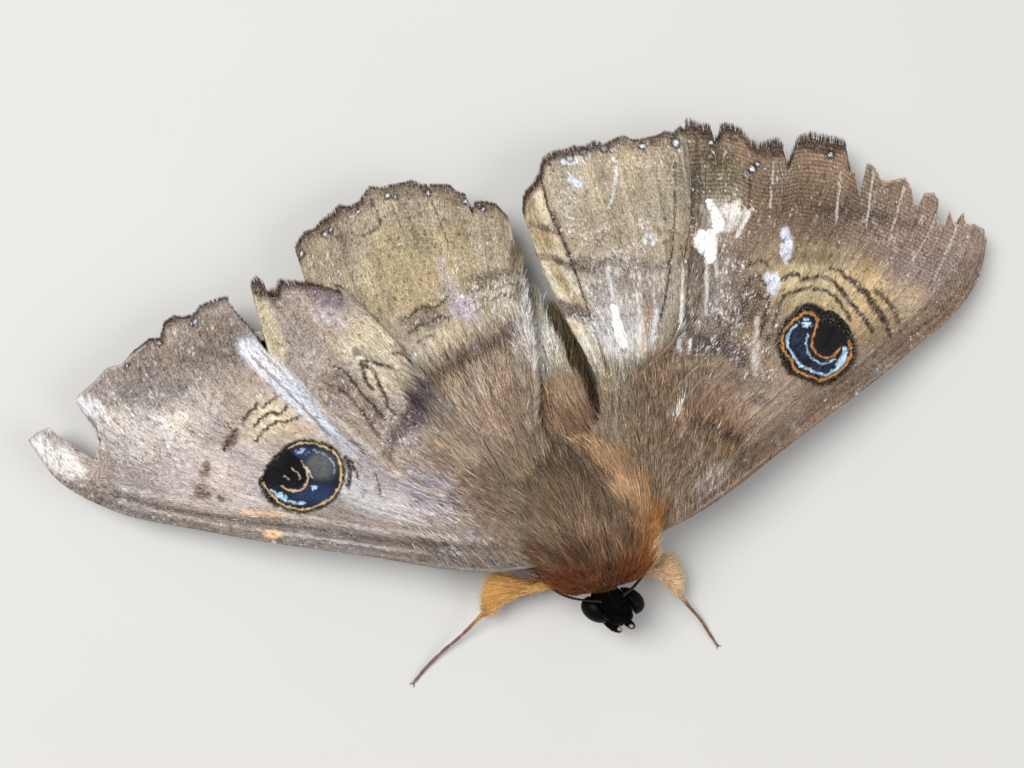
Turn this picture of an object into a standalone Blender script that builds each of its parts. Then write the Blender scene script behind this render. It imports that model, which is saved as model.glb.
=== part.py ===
"""A southern old lady moth (Dasypodia selenophora), life size, resting with its wings spread flat.

The moth faces -Y with its tail towards +Y. The floor is z = 0. Its left side is towards +X.
Lengths are in millimetres until a mesh is made, where MM turns them into metres.
"""
import math
import random

import bmesh
import bpy
import numpy as np

MM = 0.001
GAP = 0.3  # clearance that neighbouring pieces keep

# Body stations from front to back: y, half width, half height, height of the middle
THORAX = (
    (-3.9, 2.3, 1.9, 5.1),
    (-3.2, 3.5, 2.7, 5.3),
    (-1.4, 4.7, 3.5, 5.6),
    (1.2, 5.2, 3.9, 5.7),
    (3.8, 5.0, 3.8, 5.6),
    (6.2, 4.3, 3.3, 5.1),
    (8.0, 3.3, 2.5, 4.4),
)
ABDOMEN = (
    (8.3, 2.9, 2.3, 3.8),
    (11.0, 2.8, 2.2, 3.6),
    (14.0, 2.5, 2.0, 3.4),
    (17.0, 2.0, 1.7, 3.2),
    (19.5, 1.4, 1.25, 3.1),
    (21.4, 0.8, 0.7, 3.2),
    (22.2, 0.4, 0.35, 3.25),
)
HEAD_TURN = 1.0  # sideways shift of the front of the head, turned to the moth's left
HEAD = (
    (-4.2, 1.2, 1.5, 4.9),
    (-5.2, 1.5, 1.9, 4.8),
    (-6.1, 1.5, 2.0, 4.6),
    (-6.9, 1.3, 1.7, 4.4),
    (-7.4, 0.8, 1.1, 4.2),
)
BODY_POWER = 2.4  # how square a body ring is: 2 is an ellipse
HEAD_POWER = 3.0
EYE_CENTRE = (1.8, -5.75, 4.65)  # middle of the eye's flat inner side
EYE_RADIUS = 1.3
EYE_BULGE = 0.95

# Wings rest in two layers over one sloping level, which falls away from the wing bases
LEVEL_AT_BASE = 6.9
LEVEL_FALL = 4.6
LEVEL_START = 4.0
LEVEL_REACH = 42.0
LEVEL_POWER = 1.2
WING_BASE_Y = 4.0
WING_THICKNESS = 0.5
FOREWING_LIFT = 0.65
HINDWING_LIFT = -0.35
VEIN_HEIGHT = 0.2
VEIN_FOOT = 0.13  # half width of a vein as a share of the space between two veins
FLAP_DEPTH = 0.5  # how far the margin falls back between two vein ends

# Outlines: outward distance and y. A bite is its place along the margin, half width and depth.
FOREWING_LEFT = dict(
    base=(-0.6, 4.6),
    costa=((9.2, 0.4), (20.1, 4.4), (32.6, 9.2), (38.6, 11.8), (42.6, 14.8), (44.4, 18.0)),
    margin=((43.4, 20.9), (40.6, 23.2), (37.6, 25.6), (34.4, 27.8), (32.2, 29.8), (29.1, 31.0),
            (25.0, 31.4), (21.8, 33.3), (17.5, 34.3)),
    inner=((5.4, 7.2), (5.6, 10.0), (6.6, 13.0), (11.2, 16.2), (13.6, 21.8), (15.6, 26.0),
           (17.0, 30.8)),
    veins=(0.0, 0.11, 0.23, 0.36, 0.48, 0.60, 0.73, 0.86, 1.0),
    bites=((0.16, 0.03, 2.2), (0.24, 0.03, 1.2), (0.47, 0.025, 2.4), (0.66, 0.03, 2.8),
           (0.75, 0.04, 0.8)),
    pleat=None,
    lift=FOREWING_LIFT,
    rows=12,
)
FOREWING_RIGHT = dict(
    base=(-0.6, 4.6),
    costa=((9.0, -0.1), (19.8, 4.0), (32.3, 9.3), (39.1, 12.7), (43.0, 16.3), (44.7, 20.4)),
    margin=((42.2, 22.1), (38.2, 24.3), (34.0, 26.2), (29.5, 27.9), (25.0, 28.9), (21.0, 28.6),
            (16.3, 26.2)),
    inner=((5.9, 6.2), (7.8, 11.0), (11.3, 18.1), (13.6, 22.4)),
    veins=(0.0, 0.11, 0.23, 0.36, 0.48, 0.60, 0.73, 0.86, 1.0),
    bites=((0.11, 0.055, 5.2), (0.70, 0.05, 6.2), (0.80, 0.03, 1.2)),
    pleat=(0.70, ((11.7, 6.9), (16.4, 10.4), (18.9, 13.9), (21.4, 17.3), (24.0, 22.3))),
    lift=FOREWING_LIFT,
    rows=12,
)
HINDWING_LEFT = dict(
    base=(3.4, 7.8),
    costa=((8.0, 6.5), (13.0, 12.5), (19.0, 23.0), (20.6, 31.0)),
    margin=((16.5, 33.8), (11.2, 34.6), (6.4, 34.3), (3.0, 33.0), (0.9, 29.6)),
    inner=((3.2, 10.6), (3.5, 13.5), (2.1, 20.0), (1.2, 25.2)),
    veins=(0.0, 0.17, 0.34, 0.5, 0.66, 0.83, 1.0),
    bites=(),
    pleat=None,
    lift=HINDWING_LIFT,
    rows=10,
)
HINDWING_RIGHT = dict(
    base=(3.4, 7.8),
    costa=((7.8, 6.5), (12.6, 12.5), (18.4, 23.0), (19.3, 31.0)),
    margin=((14.5, 33.8), (9.8, 34.7), (5.4, 33.4), (2.2, 31.3), (0.5, 29.4)),
    inner=((2.8, 11.0), (1.9, 15.2), (1.1, 20.8), (0.6, 25.6)),
    veins=(0.0, 0.17, 0.34, 0.5, 0.66, 0.83, 1.0),
    bites=(),
    pleat=None,
    lift=HINDWING_LIFT,
    rows=10,
)
PLEAT_HEIGHT = 0.7
PLEAT_WIDTH = 0.035

# Locks of the long coat
SEEDS = dict(thorax=11, abdomen=5, head=3, leg_fore_left=7, leg_fore_right=8)
UNION_SOLVER = "MANIFOLD"
LOCK_SIDES = 4
LOCK_STEPS = 5
LOCK_SINK = 0.75  # how deep a lock's root sits in the core
THORAX_LOCK_ROWS = (-3.3, -2.3, -0.9, 0.7, 2.3, 3.9, 5.4, 6.6)
THORAX_LOCK = dict(length=4.6, width=0.85, thick=0.3, lift=0.75)
THORAX_FAN = 0.45  # how far the thorax locks turn outwards along their length
COLLAR_LOCK = dict(length=-1.5, width=0.6, thick=0.25, lift=0.35)
ABDOMEN_LOCK_ROWS = (9.3, 11.6, 13.9, 16.1, 18.1)
ABDOMEN_LOCK = dict(length=3.1, width=0.75, thick=0.22, lift=0.45)
TAIL_LOCK = dict(length=2.9, width=0.45, thick=0.2, lift=0.4)
HEAD_LOCK = dict(length=-1.2, width=0.42, thick=0.2, lift=0.35)

# Limbs: outward distance, y, height, half width, half height. A leg's first height is its
# distance below the thorax.
ANTENNA = (
    (1.2, -5.1, 6.95, 0.35, 0.35),
    (2.3, -4.7, 6.4, 0.3, 0.3),
    (3.9, -3.7, 5.6, 0.28, 0.28),
    (5.1, -2.2, 5.2, 0.28, 0.28),
    (6.0, 0.3, 5.0, 0.27, 0.27),
    (6.4, 3.6, 4.7, 0.26, 0.26),
    (7.0, 7.5, 4.3, 0.25, 0.25),
    (7.5, 11.4, 3.8, 0.15, 0.15),
)
PALP = (
    (0.8, -5.9, 2.1, 0.35, 0.35),
    (0.8, -6.9, 1.85, 0.5, 0.48),
    (0.75, -7.75, 2.6, 0.5, 0.45),
    (0.66, -8.1, 3.6, 0.4, 0.38),
    (0.52, -8.1, 4.6, 0.2, 0.2),
)
FORELEG_RIGHT = (
    (2.9, -2.1, GAP, 0.45, 0.4),
    (4.4, -2.7, 2.4, 0.7, 0.6),
    (6.6, -2.7, 2.8, 0.6, 0.55),
    (9.0, -3.1, 2.4, 0.5, 0.45),
    (10.4, -3.9, 1.8, 0.35, 0.35),
    (12.7, -5.4, 0.9, 0.3, 0.3),
    (15.0, -6.6, 0.4, 0.27, 0.27),
    (17.0, -7.9, 0.2, 0.27, 0.25),
    (17.9, -8.6, 0.2, 0.25, 0.25),
)
FORELEG_LEFT = (
    (2.9, -2.1, GAP, 0.45, 0.4),
    (4.5, -3.5, 2.5, 0.7, 0.6),
    (6.0, -4.8, 2.8, 0.6, 0.55),
    (7.1, -6.4, 2.1, 0.45, 0.4),
    (8.0, -8.0, 1.2, 0.3, 0.3),
    (9.1, -9.9, 0.5, 0.27, 0.27),
    (9.8, -11.7, 0.2, 0.27, 0.25),
    (10.2, -12.7, 0.2, 0.25, 0.25),
)
# Brush of long scales: shares of the leg where it starts and ends, then the length and the
# backward spread of its first and its last lock
TUFT_RIGHT = dict(count=12, start=0.08, end=0.32, length=(6.0, 2.3), spread=(2.1, -0.5))
TUFT_LEFT = dict(count=9, start=0.2, end=0.4, length=(1.3, 1.2), spread=(2.0, 0.2))
TUFT_LOCK = dict(width=0.5, thick=0.24, rise=0.15)
MIDLEG = (
    (3.0, 1.4, GAP, 0.4, 0.35),
    (5.6, 0.6, 2.0, 0.6, 0.55),
    (7.6, 0.4, 2.9, 0.55, 0.5),
    (9.6, 1.3, 1.9, 0.45, 0.45),
    (11.4, 2.3, 0.9, 0.35, 0.35),
    (13.2, 3.2, 0.25, 0.28, 0.28),
    (14.4, 3.9, 0.2, 0.25, 0.25),
)
HINDLEG = (
    (2.6, 5.0, GAP, 0.4, 0.35),
    (4.9, 7.0, 2.0, 0.6, 0.55),
    (6.6, 9.4, 2.7, 0.55, 0.5),
    (8.2, 12.2, 1.8, 0.45, 0.45),
    (9.6, 15.0, 0.8, 0.35, 0.35),
    (10.6, 17.6, 0.25, 0.28, 0.28),
    (11.1, 19.0, 0.2, 0.25, 0.25),
)

# Colours (linear), roughness
BROWN_COAT = ((0.20, 0.12, 0.075), 0.9)
DARK_HEAD = ((0.018, 0.014, 0.012), 0.8)
WING_SCALES = ((0.19, 0.14, 0.09), 0.85)
EYE_BLACK = ((0.012, 0.01, 0.01), 0.15)
LEG_GOLD = ((0.55, 0.30, 0.08), 0.85)
LEG_BROWN = ((0.16, 0.09, 0.05), 0.8)


def clear_scene():
    for ob in list(bpy.data.objects):
        bpy.data.objects.remove(ob)


def material(name, look):
    colour, roughness = look
    made = bpy.data.materials.new(name)
    made.use_nodes = True
    shader = made.node_tree.nodes["Principled BSDF"]
    shader.inputs["Base Color"].default_value = (*colour, 1.0)
    shader.inputs["Roughness"].default_value = roughness
    return made


def enclosed(points, faces):
    """Signed volume inside the faces: negative where they point inwards."""
    total = 0.0
    for face in faces:
        first = points[face[0]]
        for p, q in zip(face[1:], face[2:]):
            total += np.dot(first, np.cross(points[p], points[q]))
    return total / 6


def make_object(name, points, faces, look):
    """A mesh object from points in millimetres, its faces pointing out."""
    points = np.asarray(points, float)
    if enclosed(points, faces) < 0:
        faces = [face[::-1] for face in faces]
    mesh = bpy.data.meshes.new(name)
    mesh.from_pydata((points * MM).tolist(), [], faces)
    mesh.validate()
    mesh.materials.append(look)
    mesh.shade_smooth()
    ob = bpy.data.objects.new(name, mesh)
    bpy.context.scene.collection.objects.link(ob)
    return ob


def spline(points, places):
    """Points of a smooth curve through the given ones, at these shares of its chord length."""
    points = np.asarray(points, float)
    chord = np.r_[0.0, np.cumsum(np.linalg.norm(np.diff(points, axis=0), axis=1))]
    chord /= chord[-1]
    slope = np.gradient(points, chord, axis=0)
    places = np.asarray(places, float)
    k = np.clip(np.searchsorted(chord, places, side="right") - 1, 0, len(chord) - 2)
    step = (chord[k + 1] - chord[k])[:, None]
    u = (places[:, None] - chord[k][:, None]) / step
    return (
        (2 * u**3 - 3 * u**2 + 1) * points[k]
        + (u**3 - 2 * u**2 + u) * step * slope[k]
        + (3 * u**2 - 2 * u**3) * points[k + 1]
        + (u**3 - u**2) * step * slope[k + 1]
    )


def wing_level(x, y):
    """Height of the resting level at a place."""
    away = np.hypot(x, y - WING_BASE_Y)
    share = np.maximum(0.0, away - LEVEL_START) / LEVEL_REACH
    return LEVEL_AT_BASE - LEVEL_FALL * share**LEVEL_POWER


def thorax_side(y, z):
    """Half width of the thorax at a place along it and a height."""
    table = np.asarray(THORAX)
    width, height, middle = (np.interp(y, table[:, 0], table[:, k]) for k in (1, 2, 3))
    off = np.clip(np.abs(z - middle) / height, 0.0, 1.0)
    return width * (1.0 - off**BODY_POWER) ** (1.0 / BODY_POWER)


def thorax_under(x, y):
    """Height of the thorax's underside at a place."""
    table = np.asarray(THORAX)
    width, height, middle = (np.interp(y, table[:, 0], table[:, k]) for k in (1, 2, 3))
    return middle - height * (1.0 - (abs(x) / width) ** BODY_POWER) ** (1.0 / BODY_POWER)


def rooted(leg):
    """The leg with its first station set under the thorax."""
    x, y, gap, half_width, half_height = leg[0]
    under = thorax_under(x - half_width, y) - gap - half_height
    return ((x, y, under, half_width, half_height), *leg[1:])


def wing_columns(veins):
    """Places across the wing with a line of points, and how high each stands in its vein."""
    places, heights = [], []
    for low, high in zip(veins, veins[1:]):
        for share, height in ((0.0, 1.0), (VEIN_FOOT, 0.0), (0.5, 0.0), (1 - VEIN_FOOT, 0.0)):
            places.append(low + share * (high - low))
            heights.append(height)
    return np.array(places + [veins[-1]]), np.array(heights + [1.0])


def worn_margin(wing, places):
    """How far the margin falls back from its full outline, in millimetres."""
    veins = np.array(wing["veins"])
    k = np.clip(np.searchsorted(veins, places, side="right") - 1, 0, len(veins) - 2)
    share = (places - veins[k]) / (veins[k + 1] - veins[k])
    cut = FLAP_DEPTH * np.sin(math.pi * share) ** 2
    for centre, half_width, depth in wing["bites"]:
        near = np.maximum(0.0, 1.0 - np.abs(places - centre) / half_width)
        cut = cut + depth * near
    return cut


def wing_points(wing, places, rows):
    """Plan of a wing as a blend of its four edges: an array [row, column] of outward, y."""
    low_y, high_y = wing["base"]
    base_y = low_y + (high_y - low_y) * places
    under = LEVEL_AT_BASE + wing["lift"] - WING_THICKNESS / 2
    base = np.stack([thorax_side(base_y, under) + GAP, base_y], 1)
    costa = spline([tuple(base[0]), *wing["costa"]], rows)
    inner = spline([tuple(base[-1]), *wing["inner"], wing["margin"][-1]], rows)
    margin = spline([wing["costa"][-1], *wing["margin"]], places)
    s = places[None, :, None]
    t = rows[:, None, None]
    across = (1 - s) * costa[:, None] + s * inner[:, None]
    along = (1 - t) * base[None] + t * margin[None]
    corners = (
        (1 - s) * (1 - t) * base[0]
        + s * (1 - t) * base[-1]
        + (1 - s) * t * margin[0]
        + s * t * margin[-1]
    )
    return across + along - corners


def pleated(wing, places, rows, plan):
    """The plan drawn towards the line along which the wing is folded."""
    if wing["pleat"] is None:
        return plan
    place, line = wing["pleat"]
    ends = wing_points(wing, np.array([0.0, place, 1.0]), np.array([0.0, 1.0]))[:, 1]
    fold = spline([tuple(ends[0]), *line, tuple(ends[1])], rows)
    straight = wing_points(wing, np.array([0.0, place, 1.0]), rows)[:, 1]
    near = np.interp(places, (0.0, place, 1.0), (0.0, 1.0, 0.0))
    return plan + near[None, :, None] * (fold - straight)[:, None]


def worn_wing_points(wing, places, rows):
    """The plan with each line of points drawn back from the margin by its wear."""
    full = pleated(wing, places, rows, wing_points(wing, places, rows))
    length = np.linalg.norm(full[-1] - full[0], axis=1)
    end = 1.0 - worn_margin(wing, places) / length
    worn = np.empty_like(full)
    for k in range(len(places)):
        for axis in (0, 1):
            worn[:, k, axis] = np.interp(rows * end[k], rows, full[:, k, axis])
    return worn


def make_wing(name, wing, side, look):
    """A wing: veins raised in its upper face, both faces split into triangles alike."""
    places, vein = wing_columns(wing["veins"])
    rows = np.linspace(0.0, 1.0, wing["rows"])
    plan = worn_wing_points(wing, places, rows)
    x, y = plan[..., 0], plan[..., 1]
    middle = wing_level(x, y) + wing["lift"]
    if wing["pleat"] is not None:
        raised = np.exp(-(((places - wing["pleat"][0]) / PLEAT_WIDTH) ** 2))
        middle = middle + PLEAT_HEIGHT * raised * np.sin(math.pi * rows)[:, None]
    spread = np.minimum(1.0, np.gradient(y, axis=1) ** 2 + np.gradient(x, axis=1) ** 2)
    top = middle + WING_THICKNESS / 2 + VEIN_HEIGHT * vein * np.sqrt(spread)
    bottom = middle - WING_THICKNESS / 2
    count_rows, count_columns = x.shape
    upper = np.stack([side * x, y, top], -1).reshape(-1, 3)
    lower = np.stack([side * x, y, bottom], -1).reshape(-1, 3)
    points = np.concatenate([upper, lower])
    faces = []
    under = len(upper)
    for i in range(count_rows - 1):
        for j in range(count_columns - 1):
            a = i * count_columns + j
            b, c, d = a + 1, a + count_columns + 1, a + count_columns
            for p, q, r in ((a, b, c), (a, c, d)):
                faces += [(p, r, q), (under + p, under + q, under + r)]
    last = count_rows - 1
    rim = [(0, j) for j in range(count_columns)]
    rim += [(i, count_columns - 1) for i in range(1, count_rows)]
    rim += [(last, j) for j in range(count_columns - 2, -1, -1)]
    rim += [(i, 0) for i in range(last - 1, 0, -1)]
    ids = [i * count_columns + j for i, j in rim]
    for p, q in zip(ids, ids[1:] + ids[:1]):
        faces += [(p, q, under + q), (p, under + q, under + p)]
    return make_object(name, points, faces, look)


def ring(centre, half_width, half_height, sides, power):
    """Points of a rounded ring around the Y direction."""
    turn = np.linspace(0.0, 2 * math.pi, sides, endpoint=False)
    c, s = np.cos(turn), np.sin(turn)
    x = centre[0] + half_width * np.sign(c) * np.abs(c) ** (2 / power)
    z = centre[2] + half_height * np.sign(s) * np.abs(s) ** (2 / power)
    return np.stack([x, np.full(sides, centre[1]), z], 1)


def skin_rings(rings):
    """Faces of a closed tube through rings of equal size, with flat ends."""
    sides = len(rings[0])
    points = np.concatenate(rings)
    faces = []
    for i in range(len(rings) - 1):
        for j in range(sides):
            a, b = i * sides + j, i * sides + (j + 1) % sides
            c, d = b + sides, a + sides
            faces += [(a, c, b), (a, d, c)]
    faces.append(tuple(range(sides)))
    faces.append(tuple(range((len(rings) - 1) * sides, len(rings) * sides))[::-1])
    return points, faces


def on_body(stations, y, turn, power):
    """Place and outward direction on a body's surface. Beyond its ends the last ring carries on."""
    table = np.asarray(sorted(stations))
    half_width, half_height, middle = (np.interp(y, table[:, 0], table[:, k]) for k in (1, 2, 3))
    c, s = math.cos(turn), math.sin(turn)
    x = half_width * math.copysign(abs(c) ** (2 / power), c)
    z = middle + half_height * math.copysign(abs(s) ** (2 / power), s)
    out = np.array([c * half_height, 0.0, s * half_width])
    return np.array([x, y, z]), out / np.linalg.norm(out)


def flat_lock(path, out, width, thick):
    """Rings of a lock: flat, tapered to a blunt tip, its flat side turned outwards."""
    rings = []
    along = np.gradient(path, axis=0)
    for k, (centre, forward, normal) in enumerate(zip(path, along, out)):
        share = k / (len(path) - 1)
        taper = (1.0 - 0.9 * share**1.6) * (0.75 + 0.9 * share * (1 - share))
        across = np.cross(forward, normal)
        across /= np.linalg.norm(across)
        up = np.cross(across, forward)
        up /= np.linalg.norm(up)
        turn = np.linspace(0.0, 2 * math.pi, LOCK_SIDES, endpoint=False)
        rings.append(
            centre
            + np.outer(np.cos(turn) * width * taper, across)
            + np.outer(np.sin(turn) * thick * (1.0 - 0.6 * share), up)
        )
    return rings


def body_lock(stations, power, y, turn, lean, look, rng, roof=None, floor=None):
    """A lock that leaves a body's surface at y and turn, and lies along it."""
    length = look["length"] * rng.uniform(0.85, 1.15)
    width = look["width"] * rng.uniform(0.85, 1.15)
    thick = look["thick"]
    lift = look["lift"] * rng.uniform(0.8, 1.25)
    path, out = [], []
    for k in range(LOCK_STEPS + 1):
        share = k / LOCK_STEPS
        place, normal = on_body(stations, y + length * share, turn + lean * share, power)
        height = np.interp(share, (0.0, 0.3, 1.0), (-LOCK_SINK, 0.35 * lift, lift))
        place = place + height * normal
        if roof is not None:
            place[2] = min(place[2], roof(place[0], place[1]) - thick)
        if floor is not None and share > 0.2:
            place[2] = max(place[2], floor(place[0], place[1]) + thick)
        path.append(place)
        out.append(normal)
    return flat_lock(np.array(path), np.array(out), width, thick)


def thorax_locks(rng):
    """Long coat over the back of the thorax, combed backwards over the wing bases."""
    locks = []
    for row, y in enumerate(THORAX_LOCK_ROWS):
        count = 7 + row % 2
        for k in range(count):
            turn = math.radians(38 + 104 * k / (count - 1)) + rng.uniform(-0.05, 0.05)
            place, _ = on_body(THORAX, y, turn, BODY_POWER)
            if place[2] < wing_top(0.0, WING_BASE_Y) - 0.1:
                continue
            lean = THORAX_FAN * (turn - math.pi / 2) + rng.uniform(-0.08, 0.08)
            locks.append(body_lock(THORAX, BODY_POWER, y, turn, lean, THORAX_LOCK, rng,
                                   floor=wing_top))
    for k in range(9):
        turn = math.radians(30 + 120 * k / 8)
        locks.append(body_lock(THORAX, BODY_POWER, -2.9, turn, 0.0, COLLAR_LOCK, rng))
    return locks


def wing_top(x, y):
    """Lowest height that clears the forewings from above."""
    return wing_level(x, y) + FOREWING_LIFT + WING_THICKNESS / 2 + VEIN_HEIGHT + GAP


def wing_under(x, y):
    """Greatest height that clears the hindwings from below."""
    return wing_level(x, y) + HINDWING_LIFT - WING_THICKNESS / 2 - GAP


def abdomen_locks(rng):
    """Rings of locks at the rear of each segment, and a tuft at the tail."""
    locks = []
    for row, y in enumerate(ABDOMEN_LOCK_ROWS):
        for k in range(9):
            turn = 2 * math.pi * (k + 0.5 * (row % 2)) / 9 + rng.uniform(-0.06, 0.06)
            locks.append(body_lock(ABDOMEN, BODY_POWER, y, turn, rng.uniform(-0.1, 0.1),
                                   ABDOMEN_LOCK, rng, roof=wing_under))
    for k in range(7):
        turn = 2 * math.pi * k / 7 + 0.2
        locks.append(body_lock(ABDOMEN, BODY_POWER, 20.2, turn, rng.uniform(-0.1, 0.1),
                               TAIL_LOCK, rng, roof=wing_under))
    return locks


def head_shift(y):
    """Sideways shift of what the turned head carries, growing forward from the neck."""
    rear, front = HEAD[0][0], HEAD[-1][0]
    return HEAD_TURN * np.maximum(0.0, (rear - y) / (rear - front))


def head_locks(rng):
    """Short rough scales over the top and front of the head."""
    locks = []
    for y, count, spread in ((-5.0, 3, 50), (-5.9, 4, 75)):
        for k in range(count):
            turn = math.radians(90 + spread * (2 * k / (count - 1) - 1) / 2)
            rings = body_lock(HEAD, HEAD_POWER, y, turn, 0.0, HEAD_LOCK, rng)
            locks.append([ring_points + (head_shift(y), 0.0, 0.0) for ring_points in rings])
    return locks


def tuft_locks(leg, tuft, rng):
    """The brush of long scales along a foreleg, spread flat towards the rear."""
    locks = []
    last = tuft["count"] - 1
    for k in range(tuft["count"]):
        share = k / last
        place = tuft["start"] + (tuft["end"] - tuft["start"]) * share
        table = spline(leg, [place, place + 0.03])
        forward = table[1, :3] - table[0, :3]
        forward /= np.linalg.norm(forward)
        sideways = np.array([-forward[1], forward[0], 0.0])
        length = np.interp(share, (0, 1), tuft["length"]) * rng.uniform(0.92, 1.04)
        spread = np.interp(share, (0, 1), tuft["spread"])
        rise = TUFT_LOCK["rise"] * (-1) ** k
        path = []
        for along in np.linspace(0.0, 1.0, LOCK_STEPS + 1):
            up = rise * math.sin(math.pi * min(1.0, 1.5 * along))
            place = table[0, :3] + forward * length * along + sideways * spread * along**0.8
            path.append(place + (0.0, 0.0, up))
        out = np.tile((0.0, 0.0, 1.0), (LOCK_STEPS + 1, 1))
        locks.append(flat_lock(np.array(path), out, TUFT_LOCK["width"], TUFT_LOCK["thick"]))
    return locks


def fuse(core, locks, side=1):
    """Joins closed locks to the core, and keeps the one outer surface."""
    group = bpy.data.collections.new(core.name + " locks")
    bpy.context.scene.collection.children.link(group)
    for rings in locks:
        points, faces = skin_rings(rings)
        points[:, 0] *= side
        piece = make_object(core.name + " lock", points, faces, core.data.materials[0])
        bpy.context.scene.collection.objects.unlink(piece)
        group.objects.link(piece)
    union = core.modifiers.new("union", "BOOLEAN")
    union.operation = "UNION"
    union.operand_type = "COLLECTION"
    union.collection = group
    union.solver = UNION_SOLVER
    bpy.context.view_layer.update()
    graph = bpy.context.evaluated_depsgraph_get()
    joined = bpy.data.meshes.new_from_object(core.evaluated_get(graph))
    core.modifiers.clear()
    core.data = joined
    for piece in list(group.objects):
        bpy.data.objects.remove(piece)
    bpy.data.collections.remove(group)
    keep_largest(joined)


def keep_largest(mesh):
    """Removes every closed surface of a mesh but the one that holds most."""
    shape = bmesh.new()
    shape.from_mesh(mesh)
    bmesh.ops.triangulate(shape, faces=shape.faces)
    shells, left = [], set(shape.faces)
    while left:
        shell, reach = set(), [left.pop()]
        while reach:
            face = reach.pop()
            shell.add(face)
            for edge in face.edges:
                for near in edge.link_faces:
                    if near in left:
                        left.remove(near)
                        reach.append(near)
        shells.append(shell)
    largest = max(shells, key=lambda shell: abs(sum(signed_share(face) for face in shell)))
    spare = [face for shell in shells if shell is not largest for face in shell]
    bmesh.ops.delete(shape, geom=spare, context="FACES")
    shape.to_mesh(mesh)
    shape.free()


def signed_share(face):
    """A triangle's part of the volume inside its surface."""
    a, b, c = (corner.co for corner in face.verts)
    return a.dot(b.cross(c)) / 6


def make_body(name, stations, sides, power, look, turned=False):
    """A body length from its stations, which turns with the head where turned is set."""
    rings = []
    for y, half_width, half_height, middle in stations:
        x = head_shift(y) if turned else 0.0
        rings.append(ring((x, y, middle), half_width, half_height, sides, power))
    points, faces = skin_rings(rings)
    return make_object(name, points, faces, look)


def sweep(stations, steps, sides):
    """Rings along a smooth limb. Rings that would sink through the floor are flattened on it."""
    table = spline(stations, np.linspace(0.0, 1.0, steps))
    path, half = table[:, :3], table[:, 3:]
    along = np.gradient(path, axis=0)
    turn = np.linspace(0.0, 2 * math.pi, sides, endpoint=False)
    rings = []
    for centre, forward, (half_width, half_height) in zip(path, along, half):
        forward = forward / np.linalg.norm(forward)
        across = np.cross(forward, (0.0, 0.0, 1.0))
        across /= np.linalg.norm(across)
        up = np.cross(across, forward)
        ring_points = (
            centre
            + np.outer(np.cos(turn) * half_width, across)
            + np.outer(np.sin(turn) * half_height, up)
        )
        ring_points[:, 2] = np.maximum(ring_points[:, 2], 0.0)
        rings.append(ring_points)
    return rings


def make_limb(name, stations, side, steps, sides, look, turned=False):
    """A limb on one side of the body, which turns with the head where turned is set."""
    points, faces = skin_rings(sweep(stations, steps, sides))
    points[:, 0] *= side
    if turned:
        points[:, 0] += head_shift(points[:, 1])
    return make_object(name, points, faces, look)


def make_eye(name, side, look):
    """A compound eye: a low dome with its flat side towards the head."""
    rings = []
    for k in range(5):
        lift = math.sin(0.5 * math.pi * k / 5)
        radius = EYE_RADIUS * math.cos(0.5 * math.pi * k / 5)
        turn = np.linspace(0.0, 2 * math.pi, 14, endpoint=False)
        x = np.full(14, EYE_CENTRE[0] + EYE_BULGE * lift)
        rings.append(np.stack([x, EYE_CENTRE[1] + radius * np.cos(turn),
                               EYE_CENTRE[2] + radius * np.sin(turn)], 1))
    points, faces = skin_rings(rings)
    points[:, 0] = side * points[:, 0] + head_shift(points[:, 1])
    return make_object(name, points, faces, look)


def centre_on_floor():
    """Moves everything so that the origin is the middle of the box, on the floor."""
    corners = []
    for ob in bpy.context.scene.objects:
        corners += [np.array(v.co) for v in ob.data.vertices]
    corners = np.array(corners)
    middle = (corners.min(0) + corners.max(0)) / 2
    for ob in bpy.context.scene.objects:
        ob.location = (-middle[0], -middle[1], 0.0)


def main():
    clear_scene()
    coat = material("brown coat", BROWN_COAT)
    dark = material("dark head", DARK_HEAD)
    scales = material("wing scales", WING_SCALES)
    black = material("eye black", EYE_BLACK)
    gold = material("leg gold", LEG_GOLD)
    brown = material("leg brown", LEG_BROWN)
    draws = {name: random.Random(seed) for name, seed in SEEDS.items()}
    thorax = make_body("thorax", THORAX, 20, BODY_POWER, coat)
    fuse(thorax, thorax_locks(draws["thorax"]))
    abdomen = make_body("abdomen", ABDOMEN, 16, BODY_POWER, coat)
    fuse(abdomen, abdomen_locks(draws["abdomen"]))
    head = make_body("head", HEAD, 16, HEAD_POWER, dark, turned=True)
    fuse(head, head_locks(draws["head"]))
    for word, side in (("right", -1), ("left", 1)):
        right = side < 0
        make_wing(f"forewing_{word}", FOREWING_RIGHT if right else FOREWING_LEFT, side, scales)
        make_wing(f"hindwing_{word}", HINDWING_RIGHT if right else HINDWING_LEFT, side, scales)
        make_eye(f"eye_{word}", side, black)
        make_limb(f"antenna_{word}", ANTENNA, side, 20, 6, brown, turned=True)
        make_limb(f"palp_{word}", PALP, side, 8, 8, dark, turned=True)
        fore = rooted(FORELEG_RIGHT if right else FORELEG_LEFT)
        leg = make_limb(f"leg_fore_{word}", fore, side, 16, 8, gold)
        tuft = TUFT_RIGHT if right else TUFT_LEFT
        fuse(leg, tuft_locks(fore, tuft, draws[leg.name]), side)
        make_limb(f"leg_mid_{word}", rooted(MIDLEG), side, 12, 8, brown)
        make_limb(f"leg_hind_{word}", rooted(HINDLEG), side, 12, 8, brown)
    centre_on_floor()


main()
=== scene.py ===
"""Looks of the southern old lady moth: scaled wings with their markings and wear, coat, head and limbs.

Lengths are in millimetres in the part's own plan: x outward or to the moth's left, y to its tail.
to_row carries them to the frame. Markings are placed where they lie in the photograph, in pixels of
its 1024 by 768 frame, and reach the wings through the camera below.
"""
import math

import bpy
import numpy as np
from mathutils import Matrix, Vector


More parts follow.
